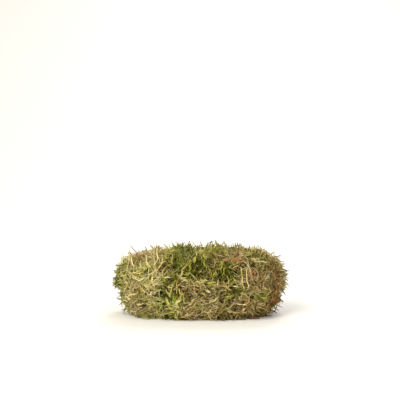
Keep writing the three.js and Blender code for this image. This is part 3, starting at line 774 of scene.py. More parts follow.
def tube_faces(rings, sides, leafed=False):
    """A tube's faces: a fan over the first ring, two triangles for each side between rings, and a
    fan to the tip, the last vertex. Leafed, each side's first triangle is drawn out as three to a
    leaf's tip, and the leaves' tips come just before the last."""
    j = np.arange(sides)
    following = np.roll(j, -1)
    faces = [[0, i + 1, i] for i in range(1, sides - 1)]
    for ring in range(rings - 1):
        a, b = sides * ring + j, sides * ring + following
        c, d, leaf = a + sides, b + sides, a + sides * rings
        first = [(a, b, leaf), (b, c, leaf), (c, a, leaf)] if leafed else [(a, b, c)]
        for corners in (*first, (b, d, c)):
            faces += np.stack(corners, 1).tolist()
    last = sides * (rings - 1)
    tip = sides * rings + (last if leafed else 0)
    return faces + [[last + i, last + following[i], tip] for i in range(sides)]


def strand_surface(corners, ends, faces, tone, light, share, level):
    """All strands as one surface, (vertices, faces, uv), out of each strand's corners, its other
    vertices and the faces that every strand has. Across the UV map is the strand's tone, spread a
    little by share, and up is its light plus level. Both swing with short waves of the place."""
    count = len(corners)
    vertices = np.concatenate([corners.reshape(count, -1, 3), *ends], 1)
    mottle = 1.5 * wave(vertices, 0.55, 1.7)
    u = tone[:, None] + UV_SPREAD * share + TONE_MOTTLE * mottle
    v = light[:, None] + level + LIGHT_MOTTLE * mottle
    uv = np.stack(np.broadcast_arrays(u, v), -1).clip(0.01, 0.99)
    all_faces = np.array(faces)[None] + np.arange(count)[:, None, None] * vertices.shape[1]
    return vertices.reshape(-1, 3), all_faces.reshape(-1, 3), uv.reshape(-1, 2)


def leafy_strands(lines, radius, tone, light, reach=LEAF_REACH):
    """Leafy branches: three-sided tubes whose rings turn by a sixth of a turn, swell and taper.
    Every other face is drawn out to the tip of a leaf, outward and forward."""
    rings = lines.shape[1] - 1
    along, side, wide = strand_frames(lines, rings)
    k, j = np.arange(rings), np.arange(3)
    out = ways_round(side, wide, TURN / 3 * j + TURN / 6 * k[:, None])
    t = k / rings
    taper = np.minimum(0.75 + 1.6 * t, 1) * (1 - 0.62 * t**2)
    corners = lines[:, :rings, None] + out * (radius[:, None] * taper)[..., None, None]
    step = np.linalg.norm(np.diff(lines, axis=1), axis=-1).mean(1)
    leaves = corners[:, 1:] + out[:, 1:] * (reach * (1 - 0.45 * t[1:]))[:, None, None]
    leaves = leaves + along[:, 1:, None] * (0.55 * step)[:, None, None, None]
    share = np.concatenate([np.tile([-1, 0, 1], rings), np.tile([-0.5, 0.5, 0], rings - 1), [0]])
    # Painted shade toward the root and a painted highlight toward the tip.
    ramp = -CURL_ROOT_DARK * (1 - t) ** 2 + CURL_TIP_LIGHT * t
    level = [np.repeat(ramp - TUBE_DARK, 3), np.repeat(ramp[1:] + LEAF_LIGHT, 3), [CURL_TIP_LIGHT]]
    ends = leaves.reshape(len(lines), -1, 3), lines[:, -1:]
    faces = tube_faces(rings, 3, leafed=True)
    return strand_surface(corners, ends, faces, tone, light, share, np.concatenate(level))


def bare_strands(lines, radius, tone, light, sides=3, knots=0.0):
    """Bare stems: tubes with few sides, tapered to both ends, with low knots where asked."""
    rings = lines.shape[1] - 1
    _, side, wide = strand_frames(lines, rings)
    turn = TURN * np.arange(sides) / sides
    t = np.arange(rings) / rings
    taper = np.minimum(0.55 + 2 * t, 1) * np.minimum(0.35 + 2.4 * (1 - t), 1)
    taper = taper * (1 + knots * np.sin(2.6 * np.arange(rings)) ** 3)
    width = (radius[:, None] * taper)[..., None, None]
    corners = lines[:, :rings, None] + ways_round(side, wide, turn) * width
    share = np.concatenate([np.tile(np.cos(turn), rings), [0]])
    # Painted shade toward the root.
    level = np.concatenate([np.repeat(-STEM_ROOT_DARK * (1 - np.minimum(4 * t, 1)), sides), [0]])
    faces = tube_faces(rings, sides)
    return strand_surface(corners, [lines[:, -1:]], faces, tone, light, share, level)


def one_stem(line, radius, tone, light, sides, knots=0.0):
    """A single bare stem."""
    look = (np.array([value]) for value in (radius, tone, light))
    return bare_strands(line[None], *look, sides, knots)


def together(parts):
    """Joins (vertices, faces, uv) parts, each part's faces moved on to its own vertices."""
    vertices, faces, uv = zip(*parts)
    starts = np.cumsum([0] + [len(own) for own in vertices[:-1]])
    faces = [own + start for own, start in zip(faces, starts)]
    return np.concatenate(vertices), np.concatenate(faces), np.concatenate(uv)


# ---- Materials ----
def colour(hex_code):
    """A colour from its sRGB hex code, as linear red, green, blue and one."""
    srgb = np.array([int(hex_code[i : i + 2], 16) for i in (0, 2, 4)]) / 255
    linear = np.where(srgb <= 0.04045, srgb / 12.92, ((srgb + 0.055) / 1.055) ** 2.4)
    return (*linear.tolist(), 1.0)


TONES = {
    RUSSET: "87552f", ORANGE: "c4905c", TAN: "cfa86c", STRAW: "e2c88c", CREAM: "faebb2",
    YELLOW: "efe078", LIME: "cad05c", GREEN: "848f40", DEEP: "607c2e", DARK_GREEN: "6b6a3c",
}
# The painted shade's colour, and how far its saturation is raised at the darkest.
SHADE_COLOUR, SHADE_RICHNESS = colour("4c3f16"), 1.22
MAP_NAME = "OFBake"
STREAK_SCALE = (140, 45, 1)  # the noise's scale across and up the UV map
FULL_TONE = 0.92  # the light at which a strand has its full tone
PALE_FROM, PALE_TO, PALE_SHARE = 0.84, 1.08, 0.6  # the light over which it pales to a painted highlight, and how far


class Nodes:
    """A node tree in a maker's words: add a node with its inputs, and link."""

    def __init__(self, tree):
        self.tree = tree

    def fill(self, node, inputs):
        """Links each input to a socket, or sets it to a value."""
        for name, value in inputs.items():
            if isinstance(value, bpy.types.NodeSocket):
                self.tree.links.new(value, node.inputs[name])
            else:
                node.inputs[name].default_value = value
        return node

    def add(self, kind, inputs=None, **settings):
        """A new node with its settings and inputs."""
        node = self.tree.nodes.new(kind)
        for name, value in settings.items():
            setattr(node, name, value)
        return self.fill(node, inputs or {})

    def reached(self, value, low, high, to_low=0.0, to_high=1.0):
        """A number carried from one range to another, and held at its ends."""
        inputs = {"Value": value, "From Min": low, "From Max": high}
        inputs.update({"To Min": to_low, "To Max": to_high})
        return self.add("ShaderNodeMapRange", inputs).outputs["Result"]

    def mixed(self, share, first, second):
        """Two colours mixed, from the first at share 0 to the second at 1."""
        inputs = {"Factor": share, 6: first, 7: second}
        return self.add("ShaderNodeMix", inputs, data_type="RGBA").outputs[2]

    def reckoned(self, operation, first, second):
        """Two numbers put together by a Math node."""
        return self.add("ShaderNodeMath", {0: first, 1: second}, operation=operation).outputs[0]


def moss_tint_group():
    """A strand's tint: a ramp of tones across the map with fine streaks, from a painted dark brown
    shade, made richer in colour, over the full tone to a paler painted highlight. Puts out colour
    and roughness."""
    group = bpy.data.node_groups.new("moss tint", "ShaderNodeTree")
    for side, kind, names in (
        ("INPUT", "NodeSocketColor", ("Shade", "Pale")),
        ("INPUT", "NodeSocketFloat", ("Shade Richness", "Streaks", "Brightness")),
        ("INPUT", "NodeSocketFloat", ("Smoothest", "Roughest")),
        ("OUTPUT", "NodeSocketColor", ("Color",)),
        ("OUTPUT", "NodeSocketFloat", ("Roughness",)),
    ):
        for name in names:
            group.interface.new_socket(name, in_out=side, socket_type=kind)
    nodes = Nodes(group)
    given = nodes.add("NodeGroupInput").outputs
    place = nodes.add("ShaderNodeUVMap", uv_map=MAP_NAME).outputs["UV"]
    apart = nodes.add("ShaderNodeSeparateXYZ", {"Vector": place}).outputs
    ramp = nodes.add("ShaderNodeValToRGB", {"Fac": apart["X"]})
    elements = ramp.color_ramp.elements
    first, *between, last = sorted(TONES.items())
    elements[0].position, elements[0].color = first[0], colour(first[1])
    elements[1].position, elements[1].color = last[0], colour(last[1])
    for position, code in between:
        elements.new(position).color = colour(code)

    stretched = nodes.add("ShaderNodeMapping", {"Vector": place, "Scale": STREAK_SCALE}).outputs[0]
    grains = {"Vector": stretched, "Scale": 1.0, "Detail": 3.0, "Roughness": 0.6}
    noise = nodes.add("ShaderNodeTexNoise", grains).outputs["Fac"]
    swing = nodes.reached(noise, 0.3, 0.7, -0.5, 0.5)
    lit = nodes.reckoned("ADD", apart["Y"], nodes.reckoned("MULTIPLY", swing, given["Streaks"]))

    # Painted shade: where the light is low the tone mixes toward the shade colour and its
    # saturation rises.
    to_tone = nodes.reached(lit, 0.0, FULL_TONE)
    shaded = nodes.mixed(to_tone, given["Shade"], ramp.outputs["Color"])
    richness = nodes.reached(to_tone, 0.0, 1.0, given["Shade Richness"], 1.0)
    rich = nodes.add("ShaderNodeHueSaturation", {"Color": shaded, "Saturation": richness})
    # Painted highlight: where the light is high the colour pales.
    to_pale = nodes.reached(lit, PALE_FROM, PALE_TO, 0.0, PALE_SHARE)
    paled = nodes.mixed(to_pale, rich.outputs["Color"], given["Pale"])
    scaled = {0: paled, "Scale": given["Brightness"]}
    bright = nodes.add("ShaderNodeVectorMath", scaled, operation="SCALE")
    rough = nodes.reached(noise, 0.3, 0.7, given["Smoothest"], given["Roughest"])
    nodes.add("NodeGroupOutput", {"Color": bright.outputs[0], "Roughness": rough})
    return group


def new_finish(name):
    """A new material, its nodes and its shader."""
    material = bpy.data.materials.new(name)
    material.use_nodes = True
    return material, Nodes(material.node_tree), material.node_tree.nodes["Principled BSDF"]


def moss_material(name, streaks, pale, roughness, brightness=1.0):
    """A strand's finish: the tint with this material's values, under a rough, waxy shader."""
    material, nodes, shader = new_finish(name)
    values = {"Shade": SHADE_COLOUR, "Shade Richness": SHADE_RICHNESS, "Pale": colour(pale)}
    values.update({"Streaks": streaks, "Brightness": brightness})
    values.update(zip(("Smoothest", "Roughest"), roughness))
    tint = nodes.add("ShaderNodeGroup", values, node_tree=MOSS_TINT).outputs
    nodes.fill(shader, {"Base Color": tint["Color"], "Roughness": tint["Roughness"]})
    shader.inputs["Specular IOR Level"].default_value = 0.2
    return material


MOSS_TINT = moss_tint_group()
# Each material's pale colour is its painted highlight.
MATERIALS = {
    "old_stems": moss_material("old stems", 0.3, "f6ecc2", (0.6, 0.9), brightness=0.94),
    "yellow_green_moss": moss_material(
        "yellow-green moss", 0.22, "f0e4a8", (0.45, 0.75), brightness=1.02
    ),
    "green_moss": moss_material("green moss", 0.24, "c9cc7c", (0.45, 0.75)),
    "tan_moss": moss_material("tan moss", 0.26, "e6cfa0", (0.55, 0.85)),
    "pale_stem": moss_material("pale stem", 0.2, "f0e2b8", (0.4, 0.6)),
    "green_blade": moss_material("green blade", 0.14, "c9d873", (0.38, 0.55)),
}


# ---- Putting pieces in ----
def put_in(name, surface, slot, *nodes):
    """Makes a surface in millimetres a piece that rides on the root in place of CAD nodes."""
    vertices, faces, uv = surface
    placed = (np.clip(vertices, BOX_LOW, BOX_HIGH) + SHIFT) * MM
    mesh = bpy.data.meshes.new(name)
    mesh.vertices.add(len(placed))
    mesh.vertices.foreach_set("co", placed.astype(np.float32).ravel())
    mesh.loops.add(faces.size)
    mesh.loops.foreach_set("vertex_index", faces.astype(np.int32).ravel())
    mesh.polygons.add(len(faces))
    mesh.polygons.foreach_set("loop_start", np.arange(0, faces.size, 3, dtype=np.int32))
    mesh.polygons.foreach_set("loop_total", np.full(len(faces), 3, dtype=np.int32))
    layer = mesh.uv_layers.new(name=MAP_NAME)
    layer.data.foreach_set("uv", uv[faces.ravel()].astype(np.float32).ravel())
    mesh.update(calc_edges=True)
    mesh.polygons.foreach_set("use_smooth", np.ones(len(faces), dtype=bool))
    mesh.materials.append(MATERIALS[slot])
    piece = bpy.data.objects.new(name, mesh)
    bpy.context.scene.collection.objects.link(piece)
    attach(piece, "root")
    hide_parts(*nodes)


TONE_SPREAD = 0.055  # how far single strands scatter from their place's tone
PALE_STRAYS_TO, GREEN_STRAYS_FROM = 0.14, 0.93  # the draws that make a strand a stray
LIT_STRAYS, STRAY_GAIN = 0.08, 0.18  # the share of others that get a painted highlight, and the light that it adds


def grown(rng, tone_light):
    """Tone and light of single strands: their place's with seeded scatter, widest in light where
    the tone is cream, and now and then a paler or a greener stray. The paler strays and a few
    others get a painted highlight."""
    tone, light = tone_light
    count = len(tone)
    swing = 0.14 + 0.17 * np.exp(-(((tone - CREAM) / 0.16) ** 2))
    tone = tone + rng.normal(0, TONE_SPREAD, count)
    stray = rng.random(count)
    pale = stray < PALE_STRAYS_TO
    tone = np.where(pale, rng.uniform(STRAW, YELLOW, count), tone)
    tone = np.where(stray > GREEN_STRAYS_FROM, rng.uniform(LIME, DEEP, count), tone)
    light = light * (1 + swing * rng.normal(size=count))
    # Painted highlight: the paler strays and a few others are made lighter.
    light = np.where(pale | (rng.random(count) < LIT_STRAYS), light + STRAY_GAIN, light)
    return np.clip(tone, *TONE_LIMITS), np.clip(light, 0.06, 1.06)


# ---- The mat: a dark core, partly painted shade, under a tangle of leafy curls and old stems ----
CURLS, STRAWS, WISPS = (int(count * QUICK_SHARE) for count in (6300, 2300, 1900))
CURL_SHEAF, STRAW_SHEAF, WISP_SHEAF = 3, 4, 5  # how many lie side by side
CURL_POINTS, STRAW_STEPS, ARCH_POINTS, DRAWN_POINTS = 6, 10, 15, 14


def spots_on_mat(rng, count, lowest_z):
    """Spots spread evenly over the mat: random ways kept by the area that they stand for."""
    ways = random_ways(rng, count * 6)
    share = np.linalg.norm(ways / MAT_HALF, axis=-1) * MAT_HALF.min()
    ways = ways[rng.random(len(ways)) < share]
    spots = on_mat(CENTRE + ways * MAT_HALF)
    return spots[spots[:, 2] > lowest_z][:count]


def core_surface(columns=120, rows=80):
    """The dark inside, dark as matted old stems and by painted shade: the mat seen from its centre
    on a grid of two turns, drawn in and out by two short waves, with both poles closed and the
    underside flat on the floor."""
    turn = np.linspace(0, TURN, columns, endpoint=False)
    lean = np.linspace(0, math.pi, rows + 1)[1:-1, None]
    flat = np.sin(lean)
    along = np.broadcast_to(np.cos(lean), (rows - 1, columns))
    ways = np.stack([along, flat * np.cos(turn), flat * np.sin(turn)], -1)
    ways = np.concatenate([[[1.0, 0, 0]], ways.reshape(-1, 3), [[-1.0, 0, 0]]])
    base = CENTRE + ways * mat_radius(ways)[:, None]
    relief = 0.2 + 0.9 * wave(base, 1.9, 0.5) + 0.6 * wave(base, 0.8, 2.5)
    points = base + ways * relief[:, None]
    points[:, 2] = np.where(base[:, 2] < 1, 0, np.maximum(points[:, 2], 0))
    ring = 1 + np.arange(columns)
    following = np.roll(ring, -1)
    faces = [np.stack([np.zeros(columns, int), ring, following], 1)]
    for row in range(rows - 2):
        a, b = ring + row * columns, following + row * columns
        faces += [np.stack([a, a + columns, b], 1), np.stack([b, a + columns, b + columns], 1)]
    low = (rows - 2) * columns
    end = np.full(columns, len(points) - 1)
    faces.append(np.stack([ring + low, end, following + low], 1))
    tone, light = growth_and_painted_light_at(points)
    u = tone * 0.5 + 0.1 + 0.02 * wave(points, 0.6, 1.5)
    # Low light: the core takes mostly the painted shade colour.
    v = 0.08 + 0.1 * light + 0.05 * wave(points, 0.7, 3.0)
    return points, np.concatenate(faces), np.stack([u, v], -1).clip(*TONE_LIMITS)


def in_sheaves(rng, values, members, scatter):
    """Each value repeated for the members of its sheaf, every one scattered a little."""
    values = np.repeat(values, members, axis=0)
    return values + rng.normal(0, scatter, values.shape)


def grain_draws(rng, start, share, scatter):
    """Which sheaves lie along the grain, and its angle, scattered and either way round."""
    angle, hold = grain_at(start)
    held = rng.random(len(start)) < share * hold
    return held, either_way(rng, angle + rng.normal(0, scatter, len(start)))


def leafy_tangle(rng, count, members):
    """Leafy curls all over the mat in small sheaves. Most on the front lie along the grain, the
    others this way and that. Returns the lines, their radii and their heights."""
    start = spots_on_mat(rng, count // members, 1.0)
    sheaves = len(start)
    out = out_at(start)
    held, angle = grain_draws(rng, start, 0.75, 0.35)
    loose = unit(across_from(random_ways(rng, sheaves) * np.array([1.5, 1, 1]), out))
    way = np.where(held[:, None], front_way(angle), loose)
    way = way + out * rng.uniform(-0.3, 0.58, sheaves)[:, None]
    height = 0.6 + 6.6 * rng.random(sheaves) ** 1.1
    start = in_sheaves(rng, start, members, 1.1)
    count = len(start)
    height = np.clip(in_sheaves(rng, height, members, 0.7), 0.4, 7.6)
    way = unit(in_sheaves(rng, unit(way), members, 0.2))
    aside = unit(across_from(in_sheaves(rng, random_ways(rng, sheaves), members, 0.3), way))
    curl = np.repeat(rng.uniform(0.4, 2.6, sheaves) * np.where(held, 0.6, 1), members)
    curl = curl + rng.uniform(0, 0.4, count)
    length = rng.uniform(5, 12, count) * np.where(np.repeat(held, members), 1.25, 1)
    wiggle = rng.uniform(-0.12, 0.12, count)
    start = start + out_at(start) * height[:, None]
    lines = curled_lines(start, way, aside, length, curl, wiggle, CURL_POINTS)
    radius = rng.uniform(0.2, 0.38, count)
    return kept_in_place(lines, radius, 0.4), radius, height


def straw_tangle(rng, count, members, lengths, tops, radii):
    """Old stems that wander over the mat, in sheaves of a few side by side. Each rises by a half
    sine to a top of its own. On the front they follow the grain, at the ends they lie any way, and
    elsewhere most lie along the clump. Returns the lines, their radii and their tops."""
    start = spots_on_mat(rng, count // members, 3.0)
    sheaves = len(start)
    at_end = np.clip((np.abs(start[:, 0]) - 42) / 10, 0, 1)
    along = rng.random(sheaves) < 0.6 * (1 - at_end)
    facing = np.where(along, rng.normal(0, 0.5, sheaves), rng.uniform(0, TURN, sheaves))
    facing = either_way(rng, facing)
    held, angle = grain_draws(rng, start, 1.0, 0.25)
    held = np.repeat(held, members)
    start = in_sheaves(rng, start, members, 1.3)
    count = len(start)
    facing, angle = (in_sheaves(rng, turn, members, 0.14) for turn in (facing, angle))
    heading = np.where(held[:, None], front_way(angle), heading_of(facing))
    length = rng.uniform(*lengths, count) * np.where(held, 0.7, 1)
    bend = in_sheaves(rng, rng.normal(0, 1.3, sheaves), members, 0.3) * np.where(held, 0.6, 1)
    top = np.clip(in_sheaves(rng, rng.uniform(*tops, sheaves), members, 0.7), *tops)
    low = rng.uniform(0.2, 2.0, count)
    phase = rng.uniform(0, TURN, count)
    heights = lambda t: low + (top - low) * math.sin(math.pi * t) + 0.6 * np.sin(9 * t + phase)
    lines = lines_over_mat(start, heading, length, STRAW_STEPS, bend, heights)
    radius = rng.uniform(*radii, count)
    return kept_in_place(lines, radius, 0.3), radius, top


def drawn_lines(rng, rows):
    """The strands drawn one by one, each with thinner ones beside it. The heading turns evenly with
    a small wiggle, its sines and cosines are added up, and the line lies high over the mat with
    both ends dipping. Returns the lines, their light and their radii."""
    rows = np.repeat(np.array(rows), STRANDS_DRAWN_TOGETHER, axis=0)
    count, last = len(rows), DRAWN_POINTS - 1
    beside = np.arange(count) % STRANDS_DRAWN_TOGETHER > 0
    rows = rows + beside[:, None] * rng.normal(0, SIDE_SCATTER, rows.shape)
    x, z, degrees, length, turn, light, radius = rows.T
    length = np.maximum(length, 3) * np.where(beside, 0.8, 1)
    u = (np.arange(DRAWN_POINTS) / last)[None]
    heading = np.radians(degrees)[:, None] + np.radians(turn)[:, None] * (u[:, :-1] + 0.5 / last)
    heading = heading + 0.35 * np.sin(11 * u[:, :-1] + rng.uniform(0, TURN, (count, 1)))
    step = (length / last)[:, None]
    start = np.zeros((count, 1))
    across = x[:, None] + np.concatenate([start, np.cumsum(np.cos(heading) * step, 1)], 1)
    up = z[:, None] + np.concatenate([start, np.cumsum(np.sin(heading) * step, 1)], 1)
    ripple = np.sin(7 * u + rng.uniform(0, TURN, (count, 1)))
    height = DRAWN_TOP - 4.8 * np.abs(2 * u - 1) ** 3 + 0.5 * ripple
    lines = over_front(across, np.clip(up, 1.0, 52.0), height - np.where(beside, 0.7, 0)[:, None])
    astray = np.maximum(height_over_mat(lines) - DRAWN_LIMIT, 0)[..., None]
    light = np.clip(0.97 * light - 0.08 * beside, 0.1, 0.95)
    return lines - out_at(lines) * astray, light, radius * np.where(beside, 0.45, 0.68)


REGIONS = ("front", "back", "top", "left_end", "right_end")


def region_of(p):
    """Which side of the clump a point belongs to, by the largest of its ways from the middle."""
    q = (p - CENTRE) / np.array([46.0, 24.5, 19.0])
    top = q[:, 2] > np.maximum(np.abs(q[:, 0]), np.abs(q[:, 1]))
    ends = ~top & (np.abs(q[:, 0]) > np.abs(q[:, 1]))
    beside = np.where(ends, np.where(q[:, 0] < 0, 3, 4), np.where(q[:, 1] < 0, 0, 1))
    return np.where(top, 2, beside)


rng = np.random.default_rng(1701)
curl_lines, curl_radius, curl_height = leafy_tangle(rng, CURLS, CURL_SHEAF)
curl_tone, curl_light = grown(rng, growth_and_painted_light_at(middles(curl_lines)))
curl_tone = np.clip(curl_tone + 0.035, *TONE_LIMITS)
# Painted shade: curls that lie low over the mat are darker.
curl_light = np.clip(curl_light - 0.3 * np.clip(1 - curl_height / 5, 0, 1), 0.04, 0.94)
curls = curl_lines, curl_radius, curl_tone, curl_light
thick = straw_tangle(rng, STRAWS, STRAW_SHEAF, lengths=(9, 30), tops=(0.9, 9.8), radii=(0.14, 0.31))
thin = straw_tangle(rng, WISPS, WISP_SHEAF, lengths=(12, 30), tops=(6, 9.6), radii=(0.13, 0.22))
straw_lines, straw_radius, straw_top = (np.concatenate(pair) for pair in zip(thick, thin))
straw_tone, straw_light = grown(rng, growth_and_painted_light_at(middles(straw_lines)))
straw_tone = 0.6 * straw_tone + 0.4 * rng.uniform(ORANGE, YELLOW, len(straw_tone)) - 0.02
straw_light = straw_light + rng.uniform(-0.14, 0.22, len(straw_light))
# Painted shade: old stems whose tops stay low are darker.
straw_light = straw_light - 0.25 * np.clip(1 - straw_top / 4, 0, 1)
straws = straw_lines, straw_radius, straw_tone.clip(*TONE_LIMITS), straw_light.clip(0.06, 1.0)

put_in("mat_core", core_surface(), "old_stems", "old_stem_mat")
curl_region, straw_region = region_of(middles(curl_lines)), region_of(middles(straw_lines))
for index, region in enumerate(REGIONS):
    parts = [
        leafy_strands(*(values[curl_region == index] for values in curls)),
        bare_strands(*(values[straw_region == index] for values in straws)),
    ]
    put_in(f"mat_tangle_{region}", together(parts), "old_stems", "old_stem_mat")

arch_lines = np.array([smooth_line(line, ARCH_POINTS) for line in arches])
arch_radius = np.full(len(arch_lines), ARCH_RADIUS)
arch_tone, arch_light = grown(rng, growth_and_painted_light_at(middles(arch_lines)))
arch_tone = 0.3 * arch_tone + 0.7 * rng.uniform(TAN, YELLOW, len(arch_tone))
arch_tone = np.clip(arch_tone, *TONE_LIMITS)
arch_light = np.clip(arch_light + 0.15, 0.1, 0.95)
arch_surface = bare_strands(arch_lines, arch_radius, arch_tone, arch_light, sides=5, knots=0.15)
put_in("mat_arching_stems", arch_surface, "old_stems", "old_stem_mat")

drawn = []
for tone, rows in DRAWN_STRANDS.items():
    lines, light, radius = drawn_lines(rng, rows)
    scattered = tone + rng.normal(0, 0.03, len(lines))
    drawn.append(bare_strands(lines, radius, scattered, light, sides=4, knots=0.12))
put_in("mat_front_strands", together(drawn), "old_stems", "old_stem_mat")

# ---- Living shoots ----
FINE_BRANCHES = int(134 * QUICK_SHARE)
STEM_POINTS, BRANCH_POINTS = 37, 9
LEAN_OF_KIND = {"yellow_green": LIME, "green": GREEN, "tan": ORANGE}  # the tone it leans to


def branch_lines(limbs, points):
    """A smooth arc by start, bend and tip: the quadratic whose middle is at the bend."""
    u = np.linspace(0, 1, points)[:, None]
    start, bend, tip = (limbs[:, i, None] for i in range(3))
    pull = 2 * bend - (start + tip) / 2
    return start * (1 - u) ** 2 + 2 * pull * u * (1 - u) + tip * u**2


def shoot_leafing(rng, line, count):
    """Fine branches of one shoot, out of its upper side and flanks, leaning forward and curling,
    with a bunch of short ones round its head. Returns the lines and their radii."""
    head = rng.random(count) < 0.3
    t = np.where(head, rng.uniform(0.9, 1.0, count), rng.uniform(0.13, 0.95, count)) * STEM_STEPS
    i = np.minimum(t.astype(int), STEM_STEPS - 1)
    start = line[i] + (line[i + 1] - line[i]) * (t - i)[:, None]
    along = unit(line[i + 1] - line[i])
    up = unit(across_from(out_at(start), along))
    turn = np.where(head, rng.uniform(-math.pi, math.pi, count), rng.normal(0, 1.15, count))
    outward = turned(up, along, turn)
    forward = np.where(head, rng.uniform(-0.3, 1.6, count), rng.uniform(0, 0.9, count))
    way = unit(outward + along * forward[:, None])
    aside = unit(across_from(random_ways(rng, count) - 0.5 * outward, way))
    length = np.where(head, rng.uniform(3.5, 7, count), rng.uniform(4.5, 10, count))
    curl = rng.uniform(0.6, 3.0, count)
    wiggle = rng.uniform(-0.1, 0.1, count)
    lines = curled_lines(start, way, aside, length, curl, wiggle, CURL_POINTS)
    radius = rng.uniform(0.21, 0.36, count)
    return kept_in_place(lines, radius, 0.6), radius


for stem in shoots:
    rng = np.random.default_rng(4000 + stem["serial"])
    fine, fine_radius = shoot_leafing(rng, stem["line"], FINE_BRANCHES)
    main = branch_lines(np.array(stem["limbs"]), BRANCH_POINTS)
    main = kept_in_place(main, np.full(len(main), 0.45), 0.6)
    lean = LEAN_OF_KIND[stem["kind"]]
    looks = []
    for lines in (fine, main):
        tone, light = growth_and_painted_light_at(middles(lines))
        looks.append(grown(rng, (0.72 * tone + 0.28 * lean, light)))
    line = smooth_line(stem["line"], STEM_POINTS)
    parts = [
        one_stem(line, SHOOT_RADIUS, 0.5 * (STRAW + lean), 0.5, sides=5, knots=0.1),
        leafy_strands(fine, fine_radius, *looks[0]),
        leafy_strands(main, np.full(len(main), 0.46), *looks[1], reach=0.34),
    ]
    put_in(f"{stem['name']}_leafy", together(parts), f"{stem['kind']}_moss", stem["name"])

# ---- Bare pale stems ----
PALE_POINTS = 41
for index, line in enumerate(pale_lines):
    bends = np.linspace(0, 1, PALE_POINTS)[:, None] * np.array([19, 23, 29]) + index
    line = smooth_line(line, PALE_POINTS) + 0.22 * np.sin(bends)
    surface = one_stem(line, 0.46, STRAW + 0.03 * math.sin(2 * index), 0.68, sides=8, knots=0.18)
    node = f"pale_stem_{index + 1:02d}"
    put_in(f"{node}_smooth", surface, "pale_stem", node)

# ---- Blade tufts ----
SMALL_BLADES = int(26 * QUICK_SHARE)
BLADE_POINTS, SMALL_BLADE_POINTS, NECK_POINTS = 13, 9, 7
BLADE_SECTION = [(-1, 0.35), (0, -0.28), (1, 0.35), (0, 0.02)]  # across and up, in half widths
# SECTION_LIGHT paints a highlight on each blade's raised edges and shade on its keel beneath.
SECTION_SHARE, SECTION_LIGHT = [-1, 0, 1, 0.4], np.array([0.1, -0.12, 0.1, 0.0])
# How far each tuft's blades are from deep green in tone, and how light they are.
BLADE_LOOKS = [(0.0, 0.72), (-0.12, 1.0), (-0.02, 0.68)]


def folded_blades(lines, width, out, tone, light):
    """Narrow blades: a keeled section of four corners with both edges up, carried along each line
    and narrowed to a point."""
    rings = lines.shape[1] - 1
    along = unit(np.gradient(lines, axis=1))[:, :rings]
    up = unit(across_from(np.broadcast_to(out, along.shape), along))
    wide = np.cross(along, up)
    t = np.arange(rings) / rings
    half = width[:, None] / 2 * (0.55 + 0.9 * t) * np.sqrt(np.maximum(1 - t**3, 0))
    half = np.minimum(half, width[:, None] / 2)[..., None]
    middle_line = lines[:, :rings]
    corners = [middle_line + wide * half * a + up * half * b for a, b in BLADE_SECTION]
    share = np.concatenate([np.tile(SECTION_SHARE, rings), [0]])
    # Painted shade toward the root and a painted highlight at the tip.
    level = np.concatenate([(-0.3 * (1 - t)[:, None] + SECTION_LIGHT).ravel(), [0.12]])
    faces = tube_faces(rings, len(BLADE_SECTION))
    return strand_surface(np.stack(corners, 2), [lines[:, -1:]], faces, tone, light, share, level)


def small_blades(rng, tuft, points, spread):
    """Short blades that fan out of a tuft's neck, lean out of the mat and arch back over it."""
    count = SMALL_BLADES
    angle = np.radians(points + rng.uniform(-0.6, 0.6, count) * spread)
    way = unit(front_way(angle) + tuft["out"] * rng.uniform(0.1, 0.8, count)[:, None])
    aside = unit(across_from(-tuft["out"] + 0.5 * random_ways(rng, count), way))
    start = tuft["neck"] + rng.normal(0, 0.8, (count, 3))
    length, curl = rng.uniform(5, 11, count), rng.uniform(0.3, 1.3, count)
    lines = curled_lines(start, way, aside, length, curl, np.zeros(count), SMALL_BLADE_POINTS)
    return kept_in_place(lines, np.full(count, 0.5), 0.8)


for index, tuft in enumerate(tufts):
    rng = np.random.default_rng(9000 + index)
    paler, blade_light = BLADE_LOOKS[index]
    main = np.array([smooth_line(line, BLADE_POINTS) for line in tuft["lines"]])
    small = small_blades(rng, tuft, *BLADE_TUFTS[index][1:3])
    main_tone = rng.uniform(LIME + 0.06, DEEP, len(main)) + paler
    main_light = blade_light + rng.uniform(-0.1, 0.14, len(main))
    small_width = rng.uniform(0.7, 1.1, len(small))
    small_tone = rng.uniform(LIME + 0.03, DEEP, len(small)) + paler
    small_light = blade_light + rng.uniform(-0.2, 0.12, len(small))
    neck = smooth_line(np.array([tuft["root"], tuft["neck"], tuft["top"]]), NECK_POINTS)
    parts = [
        folded_blades(main, np.full(len(main), BLADE_WIDTH), tuft["out"], main_tone, main_light),
        folded_blades(small, small_width, tuft["out"], small_tone, small_light),
        one_stem(neck, NECK_RADII[0], LIME, 0.4, sides=6),
    ]
    node = f"blade_tuft_{index + 1:02d}"
    put_in(f"{node}_folded", together(parts), "green_blade", node)


# ---- Floor, light and camera ----
def plain_material(name, code, roughness):
    """A plain pale finish for the floor: a near-white with a faint, broad cloudiness."""
    material, nodes, shader = new_finish(name)
    place = nodes.add("ShaderNodeTexCoord").outputs["Object"]
    noise = nodes.add("ShaderNodeTexNoise", {"Vector": place, "Scale": 3.0}).outputs["Fac"]
    pale = colour(code)
    clouded = tuple(0.96 * part for part in pale[:3]) + (1.0,)
    nodes.fill(shader, {"Base Color": nodes.mixed(noise, pale, clouded), "Roughness": roughness})
    return material


def side_profile(flat, bend, height):
    """One side's profile from the middle out: a flat run, a quarter circle up and an upright.
    Returns how far out and how high its points are."""
    turn = np.linspace(0, math.pi / 2, 13)
    out = np.concatenate([[0.0], flat + bend * np.sin(turn), [flat + bend]])
    return out, np.concatenate([[0.0], bend * (1 - np.cos(turn)), [height]])


